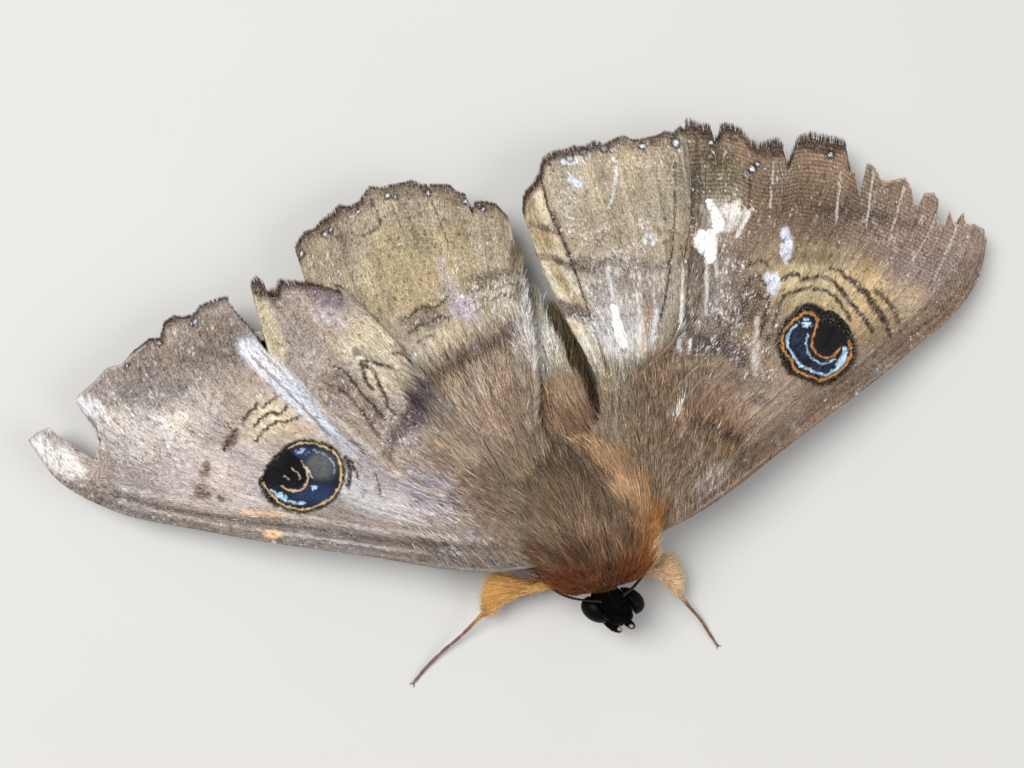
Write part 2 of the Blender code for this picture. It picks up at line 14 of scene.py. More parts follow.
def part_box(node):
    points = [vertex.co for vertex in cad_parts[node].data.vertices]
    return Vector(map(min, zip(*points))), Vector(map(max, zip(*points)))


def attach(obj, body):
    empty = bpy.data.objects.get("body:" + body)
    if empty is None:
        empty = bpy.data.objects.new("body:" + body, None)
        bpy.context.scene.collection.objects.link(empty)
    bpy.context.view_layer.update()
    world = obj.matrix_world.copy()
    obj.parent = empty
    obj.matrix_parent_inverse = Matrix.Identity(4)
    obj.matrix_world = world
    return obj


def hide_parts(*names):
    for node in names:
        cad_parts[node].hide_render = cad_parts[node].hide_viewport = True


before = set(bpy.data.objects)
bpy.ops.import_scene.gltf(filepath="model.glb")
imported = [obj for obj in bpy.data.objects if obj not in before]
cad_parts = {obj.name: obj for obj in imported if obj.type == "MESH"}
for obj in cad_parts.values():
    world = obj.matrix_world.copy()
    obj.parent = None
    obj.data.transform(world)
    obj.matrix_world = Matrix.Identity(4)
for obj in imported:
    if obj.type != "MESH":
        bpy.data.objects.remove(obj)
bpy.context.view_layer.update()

MM = 0.001
UP = (0.0, 0.0, 1.0)
TURN = 2 * math.pi
SIDES = (("right", -1), ("left", 1))

# The part's sizes that the looks are built on
THORAX = ((-3.9, 2.3, 1.9, 5.1), (-3.2, 3.5, 2.7, 5.3), (-1.4, 4.7, 3.5, 5.6), (1.2, 5.2, 3.9, 5.7),
    (3.8, 5.0, 3.8, 5.6), (6.2, 4.3, 3.3, 5.1), (8.0, 3.3, 2.5, 4.4))
ABDOMEN = ((8.3, 2.9, 2.3, 3.8), (11.0, 2.8, 2.2, 3.6), (14.0, 2.5, 2.0, 3.4), (17.0, 2.0, 1.7, 3.2),
    (19.5, 1.4, 1.25, 3.1), (21.4, 0.8, 0.7, 3.2), (22.2, 0.4, 0.35, 3.25))
HEAD_TURN = 1.0  # sideways shift of the front of the head
HEAD = ((-7.4, 0.8, 1.1, 4.2), (-6.9, 1.3, 1.7, 4.4), (-6.1, 1.5, 2.0, 4.6), (-5.2, 1.5, 1.9, 4.8),
    (-4.2, 1.2, 1.5, 4.9))
NECK = ((-4.0, 1.5, 1.5, 4.95),)
BODY_POWER = 2.4
SKIN_DEPTH = 0.12  # the skin lies this far inside the core of the solids
EYE_CENTRE = (1.8, -5.75, 4.65)
EYE_RADIUS = 1.3
EYE_BULGE = 0.95
EYE_INSET = 0.35  # the back of an eye lies this far inside its centre
SKIN_STEPS, SKIN_TURNS = 150, 72
EYE_STEPS, EYE_TURNS = 24, 48

LEVEL_AT_BASE = 6.9
LEVEL_FALL = 4.6
LEVEL_START = 4.0
LEVEL_REACH = 42.0
LEVEL_POWER = 1.2
WING_BASE_Y = 4.0
GAP = 0.3
SHEET_THICKNESS = 0.12
FOCUS_COLUMNS = 0.11  # shares round an eyespot where the mesh is finest
FOCUS_ROWS = 0.09
TORN_FROM = 0.55  # no wing is torn nearer its base than this share of its length
VEIN_HEIGHT = 0.13
VEIN_WIDTH = 0.22
PLEAT_HEIGHT = 0.6
PLEAT_WIDTH = 0.035  # as a share of the wing's breadth
SCALE_STEP = 0.14  # spacing of the wing mesh
UNDER_STEP = 4  # the underside has one point for this many of the upper side

# Camera: the photograph looks down along the moth's back, tilted to its right and rolled
VIEW_TILT = math.radians(10.5)
VIEW_ROLL = math.radians(13.5)
VIEW_DISTANCE = 130.0
VIEW_AIM = (0.0, 0.0, 7.5)
VIEW_AIM_PIXEL = (600.0, 545.0)
PIXELS_PER_MM = 11.6
FRAME_SIZE = (1024, 768)
SENSOR = 36.0
NEAREST, FARTHEST = 0.005, 5.0  # metres
FLOOR_HALF = 1.5  # metres

# Colours as seen (sRGB)
GREY_PINK = (0.60, 0.535, 0.50)
OCHRE = (0.66, 0.575, 0.40)
CREAM_OCHRE = (0.80, 0.72, 0.54)
OLIVE = (0.60, 0.53, 0.37)
TAUPE = (0.55, 0.45, 0.35)
COSTAL_GREY = (0.475, 0.445, 0.425)
DARK_LINE = (0.225, 0.17, 0.13)
BROWN_BAND = (0.40, 0.32, 0.27)
VIOLET_DARK = (0.30, 0.245, 0.27)
LAVENDER = (0.68, 0.64, 0.67)
WORN_WHITE = (0.88, 0.87, 0.86)
# Grey of worn scales, also used for painted glints on the right eyespot's bay
WORN_AND_GLINT_GREY = (0.76, 0.72, 0.69)
BLUE_WHITE = (0.82, 0.83, 0.87)
BALD_WHITE = (0.97, 0.97, 0.97)
PALE_OLIVE = (0.76, 0.72, 0.60)
PEACH = (0.93, 0.76, 0.60)
FRINGE_BROWN = (0.24, 0.17, 0.14)
BLACK = (0.025, 0.022, 0.025)
ORANGE_RING = (0.72, 0.50, 0.26)
STEEL_BLUE = (0.12, 0.17, 0.27)
SKY_BLUE = (0.72, 0.84, 0.93)
COAT_TAUPE = (0.58, 0.495, 0.41)
COAT_BROWN = (0.485, 0.395, 0.315)
COAT_TAN = (0.64, 0.565, 0.48)
BASE_TAUPE = (0.50, 0.43, 0.36)
COAT_ORANGE = (0.79, 0.635, 0.485)
COLLAR_BROWN = (0.36, 0.165, 0.03)
COLLAR_ORANGE = (0.75, 0.50, 0.245)
ABDOMEN_GREY = (0.90, 0.88, 0.83)
# Dark brown of the hair at the abdomen's side: painted shade of the slot under the hindwing
FLANK_SHADE_BROWN = (0.30, 0.235, 0.18)
TUFT_GOLD = (0.87, 0.68, 0.41)
TUFT_CREAM = (0.96, 0.82, 0.66)
HEAD_BLACK = (0.022, 0.018, 0.017)
PALP_TIP = (0.80, 0.74, 0.64)
LEG_BROWN = (0.36, 0.26, 0.20)
TARSUS_BROWN = (0.52, 0.40, 0.34)

# What the two wings of a pair share. base is the run of y along the thorax, lift the height over
# the common level, hair the reach and length of the hairs of the base, rim_hair the length and lean
# of those of the inner margin, and veins their shares of the breadth.
FOREWING = dict(
    base=(-0.6, 4.6), lift=0.46, hair=(17.0, 1.9), rim_hair=(1.5, -0.1),
    veins=(0.03, 0.1, 0.19, 0.28, 0.38, 0.48, 0.57, 0.66, 0.76, 0.88, 0.985),
)
HINDWING = dict(
    base=(3.4, 7.8), lift=-0.16, length=31.0, ripple=0.08, eyespot=None, pleat=None,
    veins=(0.05, 0.2, 0.34, 0.47, 0.58, 0.69, 0.8, 0.92),
)
# Each wing: costa, margin, inner and pleat are lines of the unworn wing in mm, torn is its outline
# in the photograph, and fringe has lengths in mm by how far right they are there.
WINGS = dict(
    forewing_left=dict(
        **FOREWING, side=1, length=44.0, breadth=36.0, ground=(0.5, 0.42, 0.345), wear=0.2,
        ripple=0.3, eyespot=(817, 346), pleat=None,
        fringe=((640, 0.6), (690, 0.8), (845, 0.85), (852, 0.0), (990, 0.0)),
        costa=((9.2, 0.4), (20.1, 4.4), (32.6, 9.2), (38.6, 11.8), (42.6, 14.8), (44.4, 18.0)),
        margin=((43.9, 21.6), (41.0, 24.0), (38.0, 26.4), (34.8, 28.6), (32.4, 30.6), (29.3, 31.8),
            (25.0, 32.3), (21.8, 34.1), (17.5, 34.9)),
        inner=((5.4, 7.2), (5.6, 10.0), (6.6, 13.0), (11.2, 16.2), (13.6, 21.8), (15.6, 26.0),
            (17.0, 30.8)),
        torn=((989, 239), (987, 231), (974, 224), (965, 224), (964, 208), (960, 224), (955, 224),
            (949, 205), (947, 226), (937, 219), (938, 212), (943, 206), (934, 193), (923, 193),
            (921, 204), (914, 203), (911, 188), (905, 177), (890, 181), (882, 180), (876, 169),
            (870, 164), (861, 164), (863, 185), (861, 195), (857, 185), (855, 171), (849, 172),
            (847, 151), (843, 146), (827, 143), (811, 138), (798, 143), (794, 151), (789, 169),
            (786, 163), (784, 151), (778, 145), (768, 146), (760, 150), (749, 145), (743, 135),
            (731, 129), (722, 128), (719, 140), (714, 142), (712, 129), (702, 130), (692, 126),
            (684, 126)),
    ),
    forewing_right=dict(
        **FOREWING, side=-1, length=45.0, breadth=34.0, ground=(0.575, 0.525, 0.495), wear=0.28,
        ripple=0.07, eyespot=(303, 475), inner=((5.9, 6.2), (7.8, 11.0), (11.3, 18.1), (13.6, 22.4)),
        fringe=((20, 0.0), (120, 0.0), (150, 0.35), (250, 0.3), (262, 0.9), (290, 0.7), (345, 0.35)),
        costa=((9.0, -0.1), (19.8, 4.0), (32.3, 9.3), (39.1, 12.7), (43.0, 16.3), (44.7, 20.4)),
        margin=((42.6, 22.8), (38.6, 25.1), (34.3, 27.1), (29.6, 28.8), (25.0, 29.8), (21.0, 29.3),
            (16.1, 26.7)),
        pleat=(0.7, ((11.7, 6.9), (16.4, 10.4), (18.9, 13.9), (21.4, 17.3), (24.0, 22.3))),
        torn=((27, 441), (36, 433), (49, 427), (61, 438), (75, 450), (85, 455), (97, 462), (96, 450),
            (101, 441), (87, 420), (79, 417), (70, 407), (79, 395), (96, 380), (106, 368), (122, 364),
            (132, 354), (151, 341), (161, 340), (165, 325), (175, 318), (185, 319), (196, 315),
            (200, 308), (216, 301), (228, 299), (234, 311), (249, 327), (263, 346), (270, 355),
            (266, 345), (261, 327), (255, 305), (251, 296), (250, 285), (257, 280), (265, 289),
            (271, 298), (279, 296), (282, 285), (297, 285), (317, 286), (330, 290), (343, 294)),
    ),
    hindwing_left=dict(
        **HINDWING, side=1, breadth=23.0, ground=(0.63, 0.58, 0.5), wear=0.38, hair=(13.5, 2.0),
        rim_hair=(0.9, -0.05),
        fringe=((515, 0.35), (545, 0.7), (640, 0.3), (700, 0.5)),
        costa=((8.0, 6.5), (13.0, 12.5), (19.0, 23.0), (20.6, 31.0)),
        inner=((3.2, 10.6), (3.5, 13.5), (2.1, 20.0), (1.2, 25.2)),
        margin=((16.6, 34.4), (11.2, 35.3), (6.3, 35.0), (2.7, 33.6), (0.9, 29.6)),
        torn=((700, 122), (682, 128), (674, 136), (665, 133), (658, 137), (646, 140), (634, 142),
            (623, 138), (611, 143), (604, 147), (596, 145), (585, 151), (576, 150), (569, 153),
            (557, 155), (549, 158), (544, 164), (541, 176), (535, 188), (528, 196), (524, 203),
            (521, 212)),
    ),
    hindwing_right=dict(
        **HINDWING, side=-1, breadth=22.0, ground=(0.615, 0.555, 0.465), wear=0.26,
        hair=(19.0, 2.4), rim_hair=(1.9, 0.35), costa=((7.8, 6.5), (12.6, 12.5), (18.4, 23.0), (19.3, 31.0)),
        inner=((2.8, 11.0), (1.9, 15.2), (1.1, 20.8), (0.6, 25.6)),
        fringe=((285, 0.3), (330, 0.5), (380, 0.35), (440, 0.4), (500, 0.3)),
        margin=((14.6, 34.5), (9.8, 35.4), (5.1, 34.1), (1.9, 31.9), (0.5, 29.4)),
        torn=((290, 262), (294, 254), (297, 247), (305, 235), (314, 231), (322, 224), (333, 217),
            (340, 208), (350, 208), (359, 204), (370, 189), (380, 190), (393, 187), (412, 183),
            (422, 188), (431, 187), (450, 188), (458, 194), (466, 196), (469, 206), (472, 214),
            (476, 204), (481, 203), (496, 206), (508, 218), (514, 228), (517, 236)),
    ),
)

# Markings in the order they are painted: a kind, a colour, then one or more marks, each led by its
# strength. A line goes on with its width and points, a patch with its middle, half sizes and turn
# in degrees. Dust is a patch of scattered scales, a band is a line without grain, and an area is
# filled inside its outline.
MARKS = dict(
    forewing_right=(
        ("patch", (0.55, 0.5, 0.46), (0.8, (175, 345), (130, 42), -32)),
        ("patch", (0.6, 0.545, 0.495), (0.9, (205, 410), (64, 36), -30)),
        ("patch", (0.74, 0.7, 0.68), (0.7, (228, 503), (40, 16), 8)),
        ("patch", (0.73, 0.69, 0.685), (0.9, (225, 475), (80, 62), 10)),
        ("patch", (0.625, 0.55, 0.485), (0.95, (480, 470), (95, 66), 25)),
        ("patch", (0.46, 0.385, 0.32), (0.7, (513, 498), (34, 64), 8)),
        ("patch", (0.74, 0.675, 0.6), (0.85, (300, 425), (75, 40), 38)),
        ("patch", (0.82, 0.76, 0.65), (0.9, (376, 354), (66, 44), 42)),
        ("patch", (0.81, 0.755, 0.66), (0.75, (268, 420), (44, 20), -35)),
        ("patch", (0.6, 0.54, 0.485), (0.9, (318, 318), (40, 24), 28)),
        ("patch", (0.83, 0.82, 0.83), (0.8, (385, 497), (90, 24), 18)),
        ("patch", (0.6, 0.54, 0.5), (0.6, (345, 375), (34, 24), 42)),
        ("line", PALE_OLIVE, (0.85, 22, (256, 300), (264, 322), (276, 350))),
        ("patch", (0.4, 0.34, 0.37), (0.75, (325, 297), (30, 11), 22)),
        ("dust", LAVENDER, (0.6, (330, 318), (30, 14), 30)),
        ("patch", FRINGE_BROWN, (1.0, (260, 291), (13, 9), 45)),
        ("patch", (0.64, 0.59, 0.56), (0.85, (195, 428), (60, 26), -10)),
        ("line", COSTAL_GREY, (0.95, 28, (540, 568), (433, 556), (320, 538), (204, 523), (132, 506),
         (85, 489), (62, 472))),
        ("line", WORN_AND_GLINT_GREY, (0.6, 5, (500, 547), (400, 533), (300, 517), (200, 504), (120, 487))),
        ("line", (0.36, 0.32, 0.29), (0.75, 4, (520, 556), (420, 545), (320, 530), (220, 517), (130, 498),
         (80, 476))),
        ("line", WORN_AND_GLINT_GREY, (0.55, 3, (510, 562), (410, 551), (310, 537), (210, 522), (120, 502))),
        ("patch", PEACH, (0.95, (273, 534), (12, 5), 5)),
        ("line", PEACH, (0.7, 5, (244, 512), (262, 514), (282, 515))),
        ("patch", (0.84, 0.81, 0.8), (0.7, (58, 458), (42, 20), 38)),
        ("dust", WORN_WHITE,
         (0.95, (58, 458), (42, 17), 38),
         (0.85, (92, 408), (34, 14), 28),
         (0.4, (120, 440), (60, 26), 28)),
        ("dust", WORN_AND_GLINT_GREY, (0.6, (180, 400), (80, 60), 10)),
        ("dust", WORN_WHITE, (0.5, (150, 424), (70, 26), 22)),
        ("dust", LAVENDER, (0.8, (420, 490), (90, 30), 14)),
        ("dust", WORN_WHITE,
         (0.55, (182, 416), (13, 9), -40),
         (0.8, (497, 442), (15, 11), 40)),
        ("dust", (0.38, 0.34, 0.31),
         (0.75, (165, 375), (75, 44), -30),
         (0.7, (225, 340), (46, 36), 30)),
        ("dust", BROWN_BAND,
         (0.9, (231, 440), (9, 15), 30),
         (0.9, (205, 470), (8, 14), 10),
         (0.9, (202, 492), (14, 12), 0),
         (0.8, (222, 498), (7, 7), 0)),
        ("dust", DARK_LINE, (0.7, (355, 353), (8, 8), 0)),
        ("line", DARK_LINE,
         (1.0, 4.0, (225, 450), (229, 440), (236, 430)),
         (1.0, 3.7, (243, 423), (250, 411), (258, 405)),
         (1.0, 3.3, (254, 428), (259, 420), (266, 415), (273, 412), (279, 414), (285, 409), (290, 404),
          (298, 402)),
         (1.0, 3.1, (256, 441), (265, 430), (275, 423), (284, 422), (294, 419), (307, 417), (321, 427),
          (331, 436), (343, 447), (352, 462), (358, 478)),
         (0.85, 2.9, (263, 408), (269, 402), (276, 398), (284, 396)),
         (0.8, 2.5, (350, 440), (366, 455), (376, 474), (380, 494)),
         (1.0, 3.7, (397, 371), (388, 367), (378, 364), (369, 361), (361, 362), (363, 371), (366, 380),
          (373, 390)),
         (1.0, 3.7, (361, 363), (372, 370), (376, 377), (380, 386), (386, 398), (390, 410), (396, 415)),
         (1.0, 3.1, (392, 353), (404, 356), (411, 363), (417, 371)),
         (0.95, 3.2, (334, 366), (345, 372), (352, 380), (360, 392), (372, 404), (384, 420)),
         (0.95, 3.2, (330, 384), (342, 390), (354, 402), (366, 418), (380, 438))),
        ("dust", DARK_LINE,
         (0.5, (338, 384), (30, 16), 30),
         (0.4, (372, 408), (16, 28), -30),
         (0.5, (402, 350), (18, 8), 30)),
        ("line", VIOLET_DARK,
         (0.6, 16, (452, 372), (437, 386), (422, 397), (413, 413), (404, 427), (394, 436)),
         (0.6, 10, (394, 436), (388, 450), (390, 468))),
        ("dust", VIOLET_DARK, (0.9, (420, 410), (36, 22), -42)),
        ("dust", LAVENDER, (0.7, (408, 442), (14, 9), 0)),
        ("line", BROWN_BAND,
         (0.75, 9, (458, 504), (470, 488), (488, 476)),
         (0.6, 8, (470, 512), (488, 500), (508, 494))),
        ("line", BLUE_WHITE,
         (0.95, 21, (248, 348), (270, 370), (292, 392), (312, 412)),
         (0.85, 12, (304, 402), (330, 430), (352, 452))),
        ("line", LAVENDER, (0.8, 7, (345, 446), (378, 470), (415, 496), (462, 520))),
        ("line", WORN_AND_GLINT_GREY, (0.75, 6, (330, 408), (362, 440), (400, 474), (450, 500))),
        ("line", TAUPE, (0.6, 4, (318, 402), (350, 424), (382, 458), (430, 488))),
        ("line", COSTAL_GREY,
         (0.8, 3, (252, 356), (272, 376), (298, 402), (330, 436)),
         (0.6, 2.5, (262, 352), (290, 380), (318, 408), (352, 444)),
         (0.7, 4, (271, 300), (284, 316), (296, 334))),
        ("line", (0.4, 0.36, 0.33), (0.6, 3, (262, 284), (272, 298), (284, 300))),
    ),
    hindwing_right=(
        ("patch", (0.635, 0.58, 0.455), (0.85, (410, 265), (100, 55), -10)),
        ("patch", (0.56, 0.505, 0.42), (0.7, (328, 246), (50, 30), 40)),
        ("patch", (0.73, 0.65, 0.585), (0.95, (492, 420), (52, 80), 10)),
        ("patch", (0.735, 0.68, 0.59), (0.9, (455, 342), (66, 24), -18)),
        ("patch", (0.76, 0.71, 0.62), (0.8, (505, 305), (30, 34), 0)),
        ("line", LAVENDER, (0.5, 12, (440, 262), (450, 285), (462, 305), (478, 318))),
        ("line", BROWN_BAND, (0.5, 12, (300, 250), (340, 214), (380, 196), (430, 193), (490, 210))),
        ("line", DARK_LINE,
         (0.8, 3.8, (404, 320), (416, 312), (424, 306), (432, 308), (440, 304), (447, 298)),
         (0.8, 3.8, (410, 332), (420, 326), (428, 322), (434, 318), (440, 317), (448, 318)),
         (0.55, 3.4, (418, 342), (424, 338), (434, 336))),
        ("dust", DARK_LINE, (0.5, (425, 318), (30, 16), -20)),
        ("line", DARK_LINE,
         (0.7, 4.1, (459, 305), (468, 293), (478, 289), (487, 287), (497, 289), (503, 284), (514, 284),
          (523, 287)),
         (0.65, 4.1, (460, 309), (472, 303), (483, 298), (494, 299), (503, 293), (514, 298), (525, 297))),
        ("dust", DARK_LINE, (0.6, (488, 278), (38, 10), -5)),
        ("dust", LAVENDER, (0.8, (466, 308), (24, 20), -10)),
        ("line", BROWN_BAND,
         (0.45, 26, (410, 376), (440, 366), (466, 360)),
         (0.7, 23, (458, 370), (484, 354), (504, 344), (540, 330))),
        ("line", VIOLET_DARK,
         (0.5, 14, (500, 354), (518, 342), (538, 330)),
         (0.45, 14, (430, 384), (448, 372), (466, 366))),
        ("line", WORN_WHITE,
         (0.85, 3.0, (517, 352), (523, 378), (529, 405), (534, 440)),
         (0.75, 6.0, (524, 300), (528, 320), (531, 345), (533, 375))),
        ("dust", WORN_WHITE, (0.6, (526, 330), (12, 60), 0)),
        ("dust", LAVENDER, (0.8, (475, 350), (8, 7), 0)),
        ("dust", BLUE_WHITE, (0.9, (412, 361), (5, 6), 0)),
        ("line", TAUPE, (0.8, 3.2, (404, 204), (413, 228), (420, 248))),
        ("line", DARK_LINE,
         (0.8, 1.8, (392, 206), (397, 216), (401, 226)),
         (0.85, 1.9, (431, 200), (437, 214), (443, 230), (448, 243)),
         (0.9, 1.8, (361, 237), (373, 231), (380, 225), (379, 216), (375, 208), (369, 198)),
         (0.9, 2.0, (326, 232), (334, 236), (342, 237))),
        ("line", CREAM_OCHRE, (0.7, 1.8, (393, 202), (403, 224))),
    ),
    hindwing_left=(
        ("patch", (0.685, 0.625, 0.525), (0.9, (605, 205), (60, 70), 0)),
        ("patch", (0.57, 0.52, 0.43), (0.75, (668, 215), (24, 95), 8)),
        ("patch", (0.73, 0.69, 0.645), (0.9, (625, 290), (60, 52), 0)),
        ("patch", (0.72, 0.69, 0.64), (0.95, (612, 352), (34, 50), 10)),
        ("line", (0.83, 0.78, 0.68), (0.95, 26, (530, 200), (545, 245), (566, 290), (590, 345),
         (606, 390))),
        ("line", (0.62, 0.56, 0.42), (0.9, 18, (528, 206), (536, 226), (546, 244))),
        ("line", BROWN_BAND, (0.45, 10, (545, 165), (575, 153), (620, 147), (675, 140))),
        ("line", OCHRE, (0.8, 9, (552, 264), (566, 288), (580, 304))),
        ("line", BROWN_BAND,
         (0.85, 8, (534, 256), (552, 258), (572, 266)),
         (0.8, 6, (530, 224), (544, 227), (556, 232))),
        ("line", (0.38, 0.315, 0.315), (0.95, 15, (556, 306), (576, 312), (602, 322))),
        ("dust", DARK_LINE,
         (0.5, (590, 266), (34, 14), 5),
         (0.35, (645, 266), (44, 16), 0)),
        ("dust", (0.42, 0.37, 0.33), (0.7, (628, 300), (60, 44), 0)),
        ("line", DARK_LINE,
         (0.5, 4.0, (576, 262), (584, 269), (592, 271), (600, 265), (612, 258), (622, 262)),
         (0.4, 3.6, (612, 262), (626, 270), (640, 264), (656, 268), (672, 262)),
         # The last run lies along the fold of the anal strip, which the sheet does not fold: painted shadow
         # of the fold's step
         (1.0, 2.8, (541, 178), (549, 209), (558, 230), (567, 250), (585, 300), (599, 343), (609, 377))),
        # Painted shadow beside the fold line
        ("line", FRINGE_BROWN, (0.45, 4, (553, 212), (563, 236), (574, 264))),
        ("line", DARK_LINE, (0.95, 1.9, (675, 161), (675, 195), (674, 228), (668, 282), (658, 328))),
        ("dust", BLUE_WHITE, (1.0, (650, 239), (12, 10), 0)),
        ("line", BLUE_WHITE, (0.95, 7, (571, 180), (579, 184))),
        ("dust", DARK_LINE, (0.25, (600, 230), (60, 40), 0)),
        ("dust", WORN_WHITE, (0.95, (570, 161), (16, 6), -10)),
        ("line", WORN_WHITE, (0.95, 2.8, (616, 167), (615, 186), (609, 207))),
        ("line", BLUE_WHITE,
         (0.8, 3.4, (608, 268), (610, 282), (613, 298)),
         (0.8, 5, (657, 312), (653, 340))),
        ("line", WORN_WHITE, (0.8, 3.4, (580, 330), (594, 358), (604, 384))),
        ("line", (0.45, 0.38, 0.32),
         (0.7, 2.0, (597, 330), (610, 356), (622, 380)),
         (0.6, 2.0, (630, 300), (634, 330), (634, 366))),
        ("line", WORN_WHITE,
         (0.7, 2.4, (637, 292), (640, 330), (638, 366)),
         (0.6, 2.4, (598, 310), (612, 340), (622, 366))),
        ("line", (0.7, 0.45, 0.25), (1.0, 2.4, (650, 306), (645, 328), (639, 352))),
        ("dust", WORN_WHITE, (0.45, (618, 330), (44, 52), 0)),
    ),
    forewing_left=(
        ("patch", (0.53, 0.455, 0.42), (0.85, (925, 250), (85, 75), 30)),
        ("patch", (0.42, 0.34, 0.275), (0.95, (800, 205), (105, 42), 8)),
        ("patch", (0.76, 0.67, 0.505), (0.95, (830, 288), (88, 46), 14)),
        ("patch", (0.64, 0.56, 0.46), (0.7, (905, 300), (26, 26), 0)),
        ("patch", (0.43, 0.4, 0.31), (0.95, (715, 180), (34, 46), 0)),
        ("patch", (0.47, 0.405, 0.335), (0.85, (722, 305), (46, 60), 0)),
        ("patch", (0.55, 0.455, 0.37), (0.95, (705, 420), (82, 62), -22)),
        ("patch", (0.65, 0.55, 0.46), (0.85, (765, 390), (50, 32), -32)),
        ("line", (0.44, 0.365, 0.31), (0.9, 30, (690, 505), (744, 470), (797, 430), (851, 391),
         (904, 348), (951, 306), (976, 270))),
        ("line", (0.35, 0.29, 0.245),
         (0.7, 4, (720, 482), (797, 426), (880, 362), (946, 306)),
         (0.6, 3, (735, 462), (800, 414), (872, 356), (930, 304))),
        ("line", GREY_PINK, (0.4, 2.0, (700, 508), (797, 436), (904, 354), (955, 310), (982, 262))),
        ("patch", FRINGE_BROWN,
         (0.85, (712, 133), (36, 11), 5),
         (0.75, (770, 152), (24, 9), 5),
         (0.85, (822, 147), (30, 9), 5)),
        ("dust", DARK_LINE,
         (0.65, (715, 158), (30, 18), 0),
         (0.6, (715, 275), (40, 46), 0),
         (0.6, (752, 300), (20, 38), 0),
         (0.5, (815, 258), (56, 12), 4)),
        ("dust", (0.36, 0.3, 0.26), (0.8, (705, 325), (40, 50), 0)),
        ("dust", (0.33, 0.3, 0.25), (0.85, (698, 190), (16, 48), 0)),
        ("dust", DARK_LINE,
         (0.35, (745, 385), (40, 26), -30),
         (0.5, (850, 215), (90, 14), 8)),
        ("line", DARK_LINE,
         (0.95, 4.0, (768, 340), (774, 322), (779, 306), (786, 295), (798, 290), (811, 288), (823, 290),
          (833, 295), (842, 306), (850, 320)),
         (1.0, 4.3, (758, 338), (764, 320), (767, 304), (772, 290), (782, 279), (794, 274), (805, 279),
          (821, 276), (835, 283), (844, 294), (853, 306), (864, 318), (872, 332)),
         (0.85, 3.7, (747, 267), (758, 261), (768, 264)),
         (0.9, 4.5, (830, 268), (841, 272), (851, 281), (862, 292), (872, 305), (882, 322)),
         (0.9, 3.7, (746, 286), (752, 278), (758, 276), (764, 280), (768, 288)),
         (0.85, 3.7, (746, 306), (752, 297), (758, 294), (763, 300)),
         (0.95, 5.0, (862, 290), (872, 300), (879, 312), (886, 324), (890, 336)),
         (0.9, 5.0, (875, 290), (884, 298), (892, 308), (898, 322)),
         (0.8, 4.0, (846, 276), (858, 284), (868, 294)),
         (1.0, 3.7, (714, 308), (718, 320), (722, 331), (727, 334), (731, 326), (737, 311)),
         (0.75, 3.4, (700, 300), (706, 316), (712, 334)),
         (0.75, 3.4, (738, 290), (742, 306), (740, 324))),
        ("patch", (0.25, 0.19, 0.19), (1.0, (721, 346), (30, 13), 10)),
        ("dust", VIOLET_DARK, (0.8, (740, 358), (17, 15), 30)),
        ("dust", DARK_LINE, (0.6, (760, 400), (14, 9), 0)),
        ("patch", (0.33, 0.25, 0.2),
         (1.0, (702, 431), (20, 8), 20),
         (0.9, (730, 441), (18, 9), 15)),
        ("patch", BROWN_BAND,
         (0.65, (682, 452), (11, 9), 0),
         (0.5, (660, 420), (10, 8), 0)),
        ("line", DARK_LINE,
         (0.95, 2.2, (750, 171), (750, 190), (748, 213)),
         (0.6, 4.0, (697, 140), (694, 190), (692, 240))),
        ("dust", WORN_AND_GLINT_GREY,
         (0.5, (722, 215), (30, 30), 0),
         (0.4, (712, 290), (40, 60), 0),
         (0.55, (756, 350), (10, 30), 0)),
        ("line", WORN_WHITE,
         (0.9, 4, (752, 209), (745, 220), (737, 236)),
         (0.8, 3, (718, 226), (716, 250), (717, 276))),
        ("dust", WORN_WHITE, (0.85, (732, 210), (22, 14), 0)),
        ("line", WORN_WHITE,
         (0.9, 4, (682, 266), (681, 300), (679, 350)),
         (0.8, 3, (688, 300), (690, 326), (690, 350)),
         (0.75, 3, (706, 262), (707, 290), (706, 314))),
        ("line", BLUE_WHITE, (1.0, 9, (785, 233), (788, 243), (786, 256))),
        ("line", WORN_WHITE, (0.9, 4, (781, 246), (785, 262))),
        ("line", BLUE_WHITE, (1.0, 10, (769, 277), (775, 282), (772, 290))),
        ("line", WORN_WHITE, (0.9, 4, (776, 274), (778, 284))),
        ("line", WORN_AND_GLINT_GREY,
         (0.9, 5, (757, 318), (756, 345), (755, 374)),
         (0.7, 2.0, (774, 160), (772, 184), (770, 208)),
         (0.7, 2.0, (841, 172), (838, 200), (836, 224)),
         (0.75, 2.0, (874, 172), (870, 200), (866, 226)),
         (0.75, 2.0, (905, 186), (896, 216), (888, 246)),
         (0.75, 2.0, (943, 200), (930, 230), (912, 262)),
         (0.75, 2.0, (963, 210), (952, 240), (934, 280))),
        ("dust", (0.66, 0.58, 0.47), (0.8, (690, 366), (38, 7), -8)),
        ("line", WORN_WHITE, (0.9, 2.4, (684, 396), (680, 410), (674, 420), (667, 425))),
        ("dust", WORN_AND_GLINT_GREY, (0.45, (712, 484), (38, 12), -38)),
    ),
)
# More wear than elsewhere: strength, middle, half sizes and turn
WORN_PLACES = dict(
    forewing_left=((0.45, (715, 270), (50, 110), 0), (0.15, (915, 230), (80, 50), 30),
        (0.4, (755, 340), (36, 60), 0)),
    forewing_right=((0.2, (110, 440), (110, 60), 25), (0.25, (400, 490), (100, 40), 14)),
    hindwing_left=((0.3, (620, 310), (60, 60), 0),),
    hindwing_right=((0.4, (490, 300), (60, 40), 0),),
)
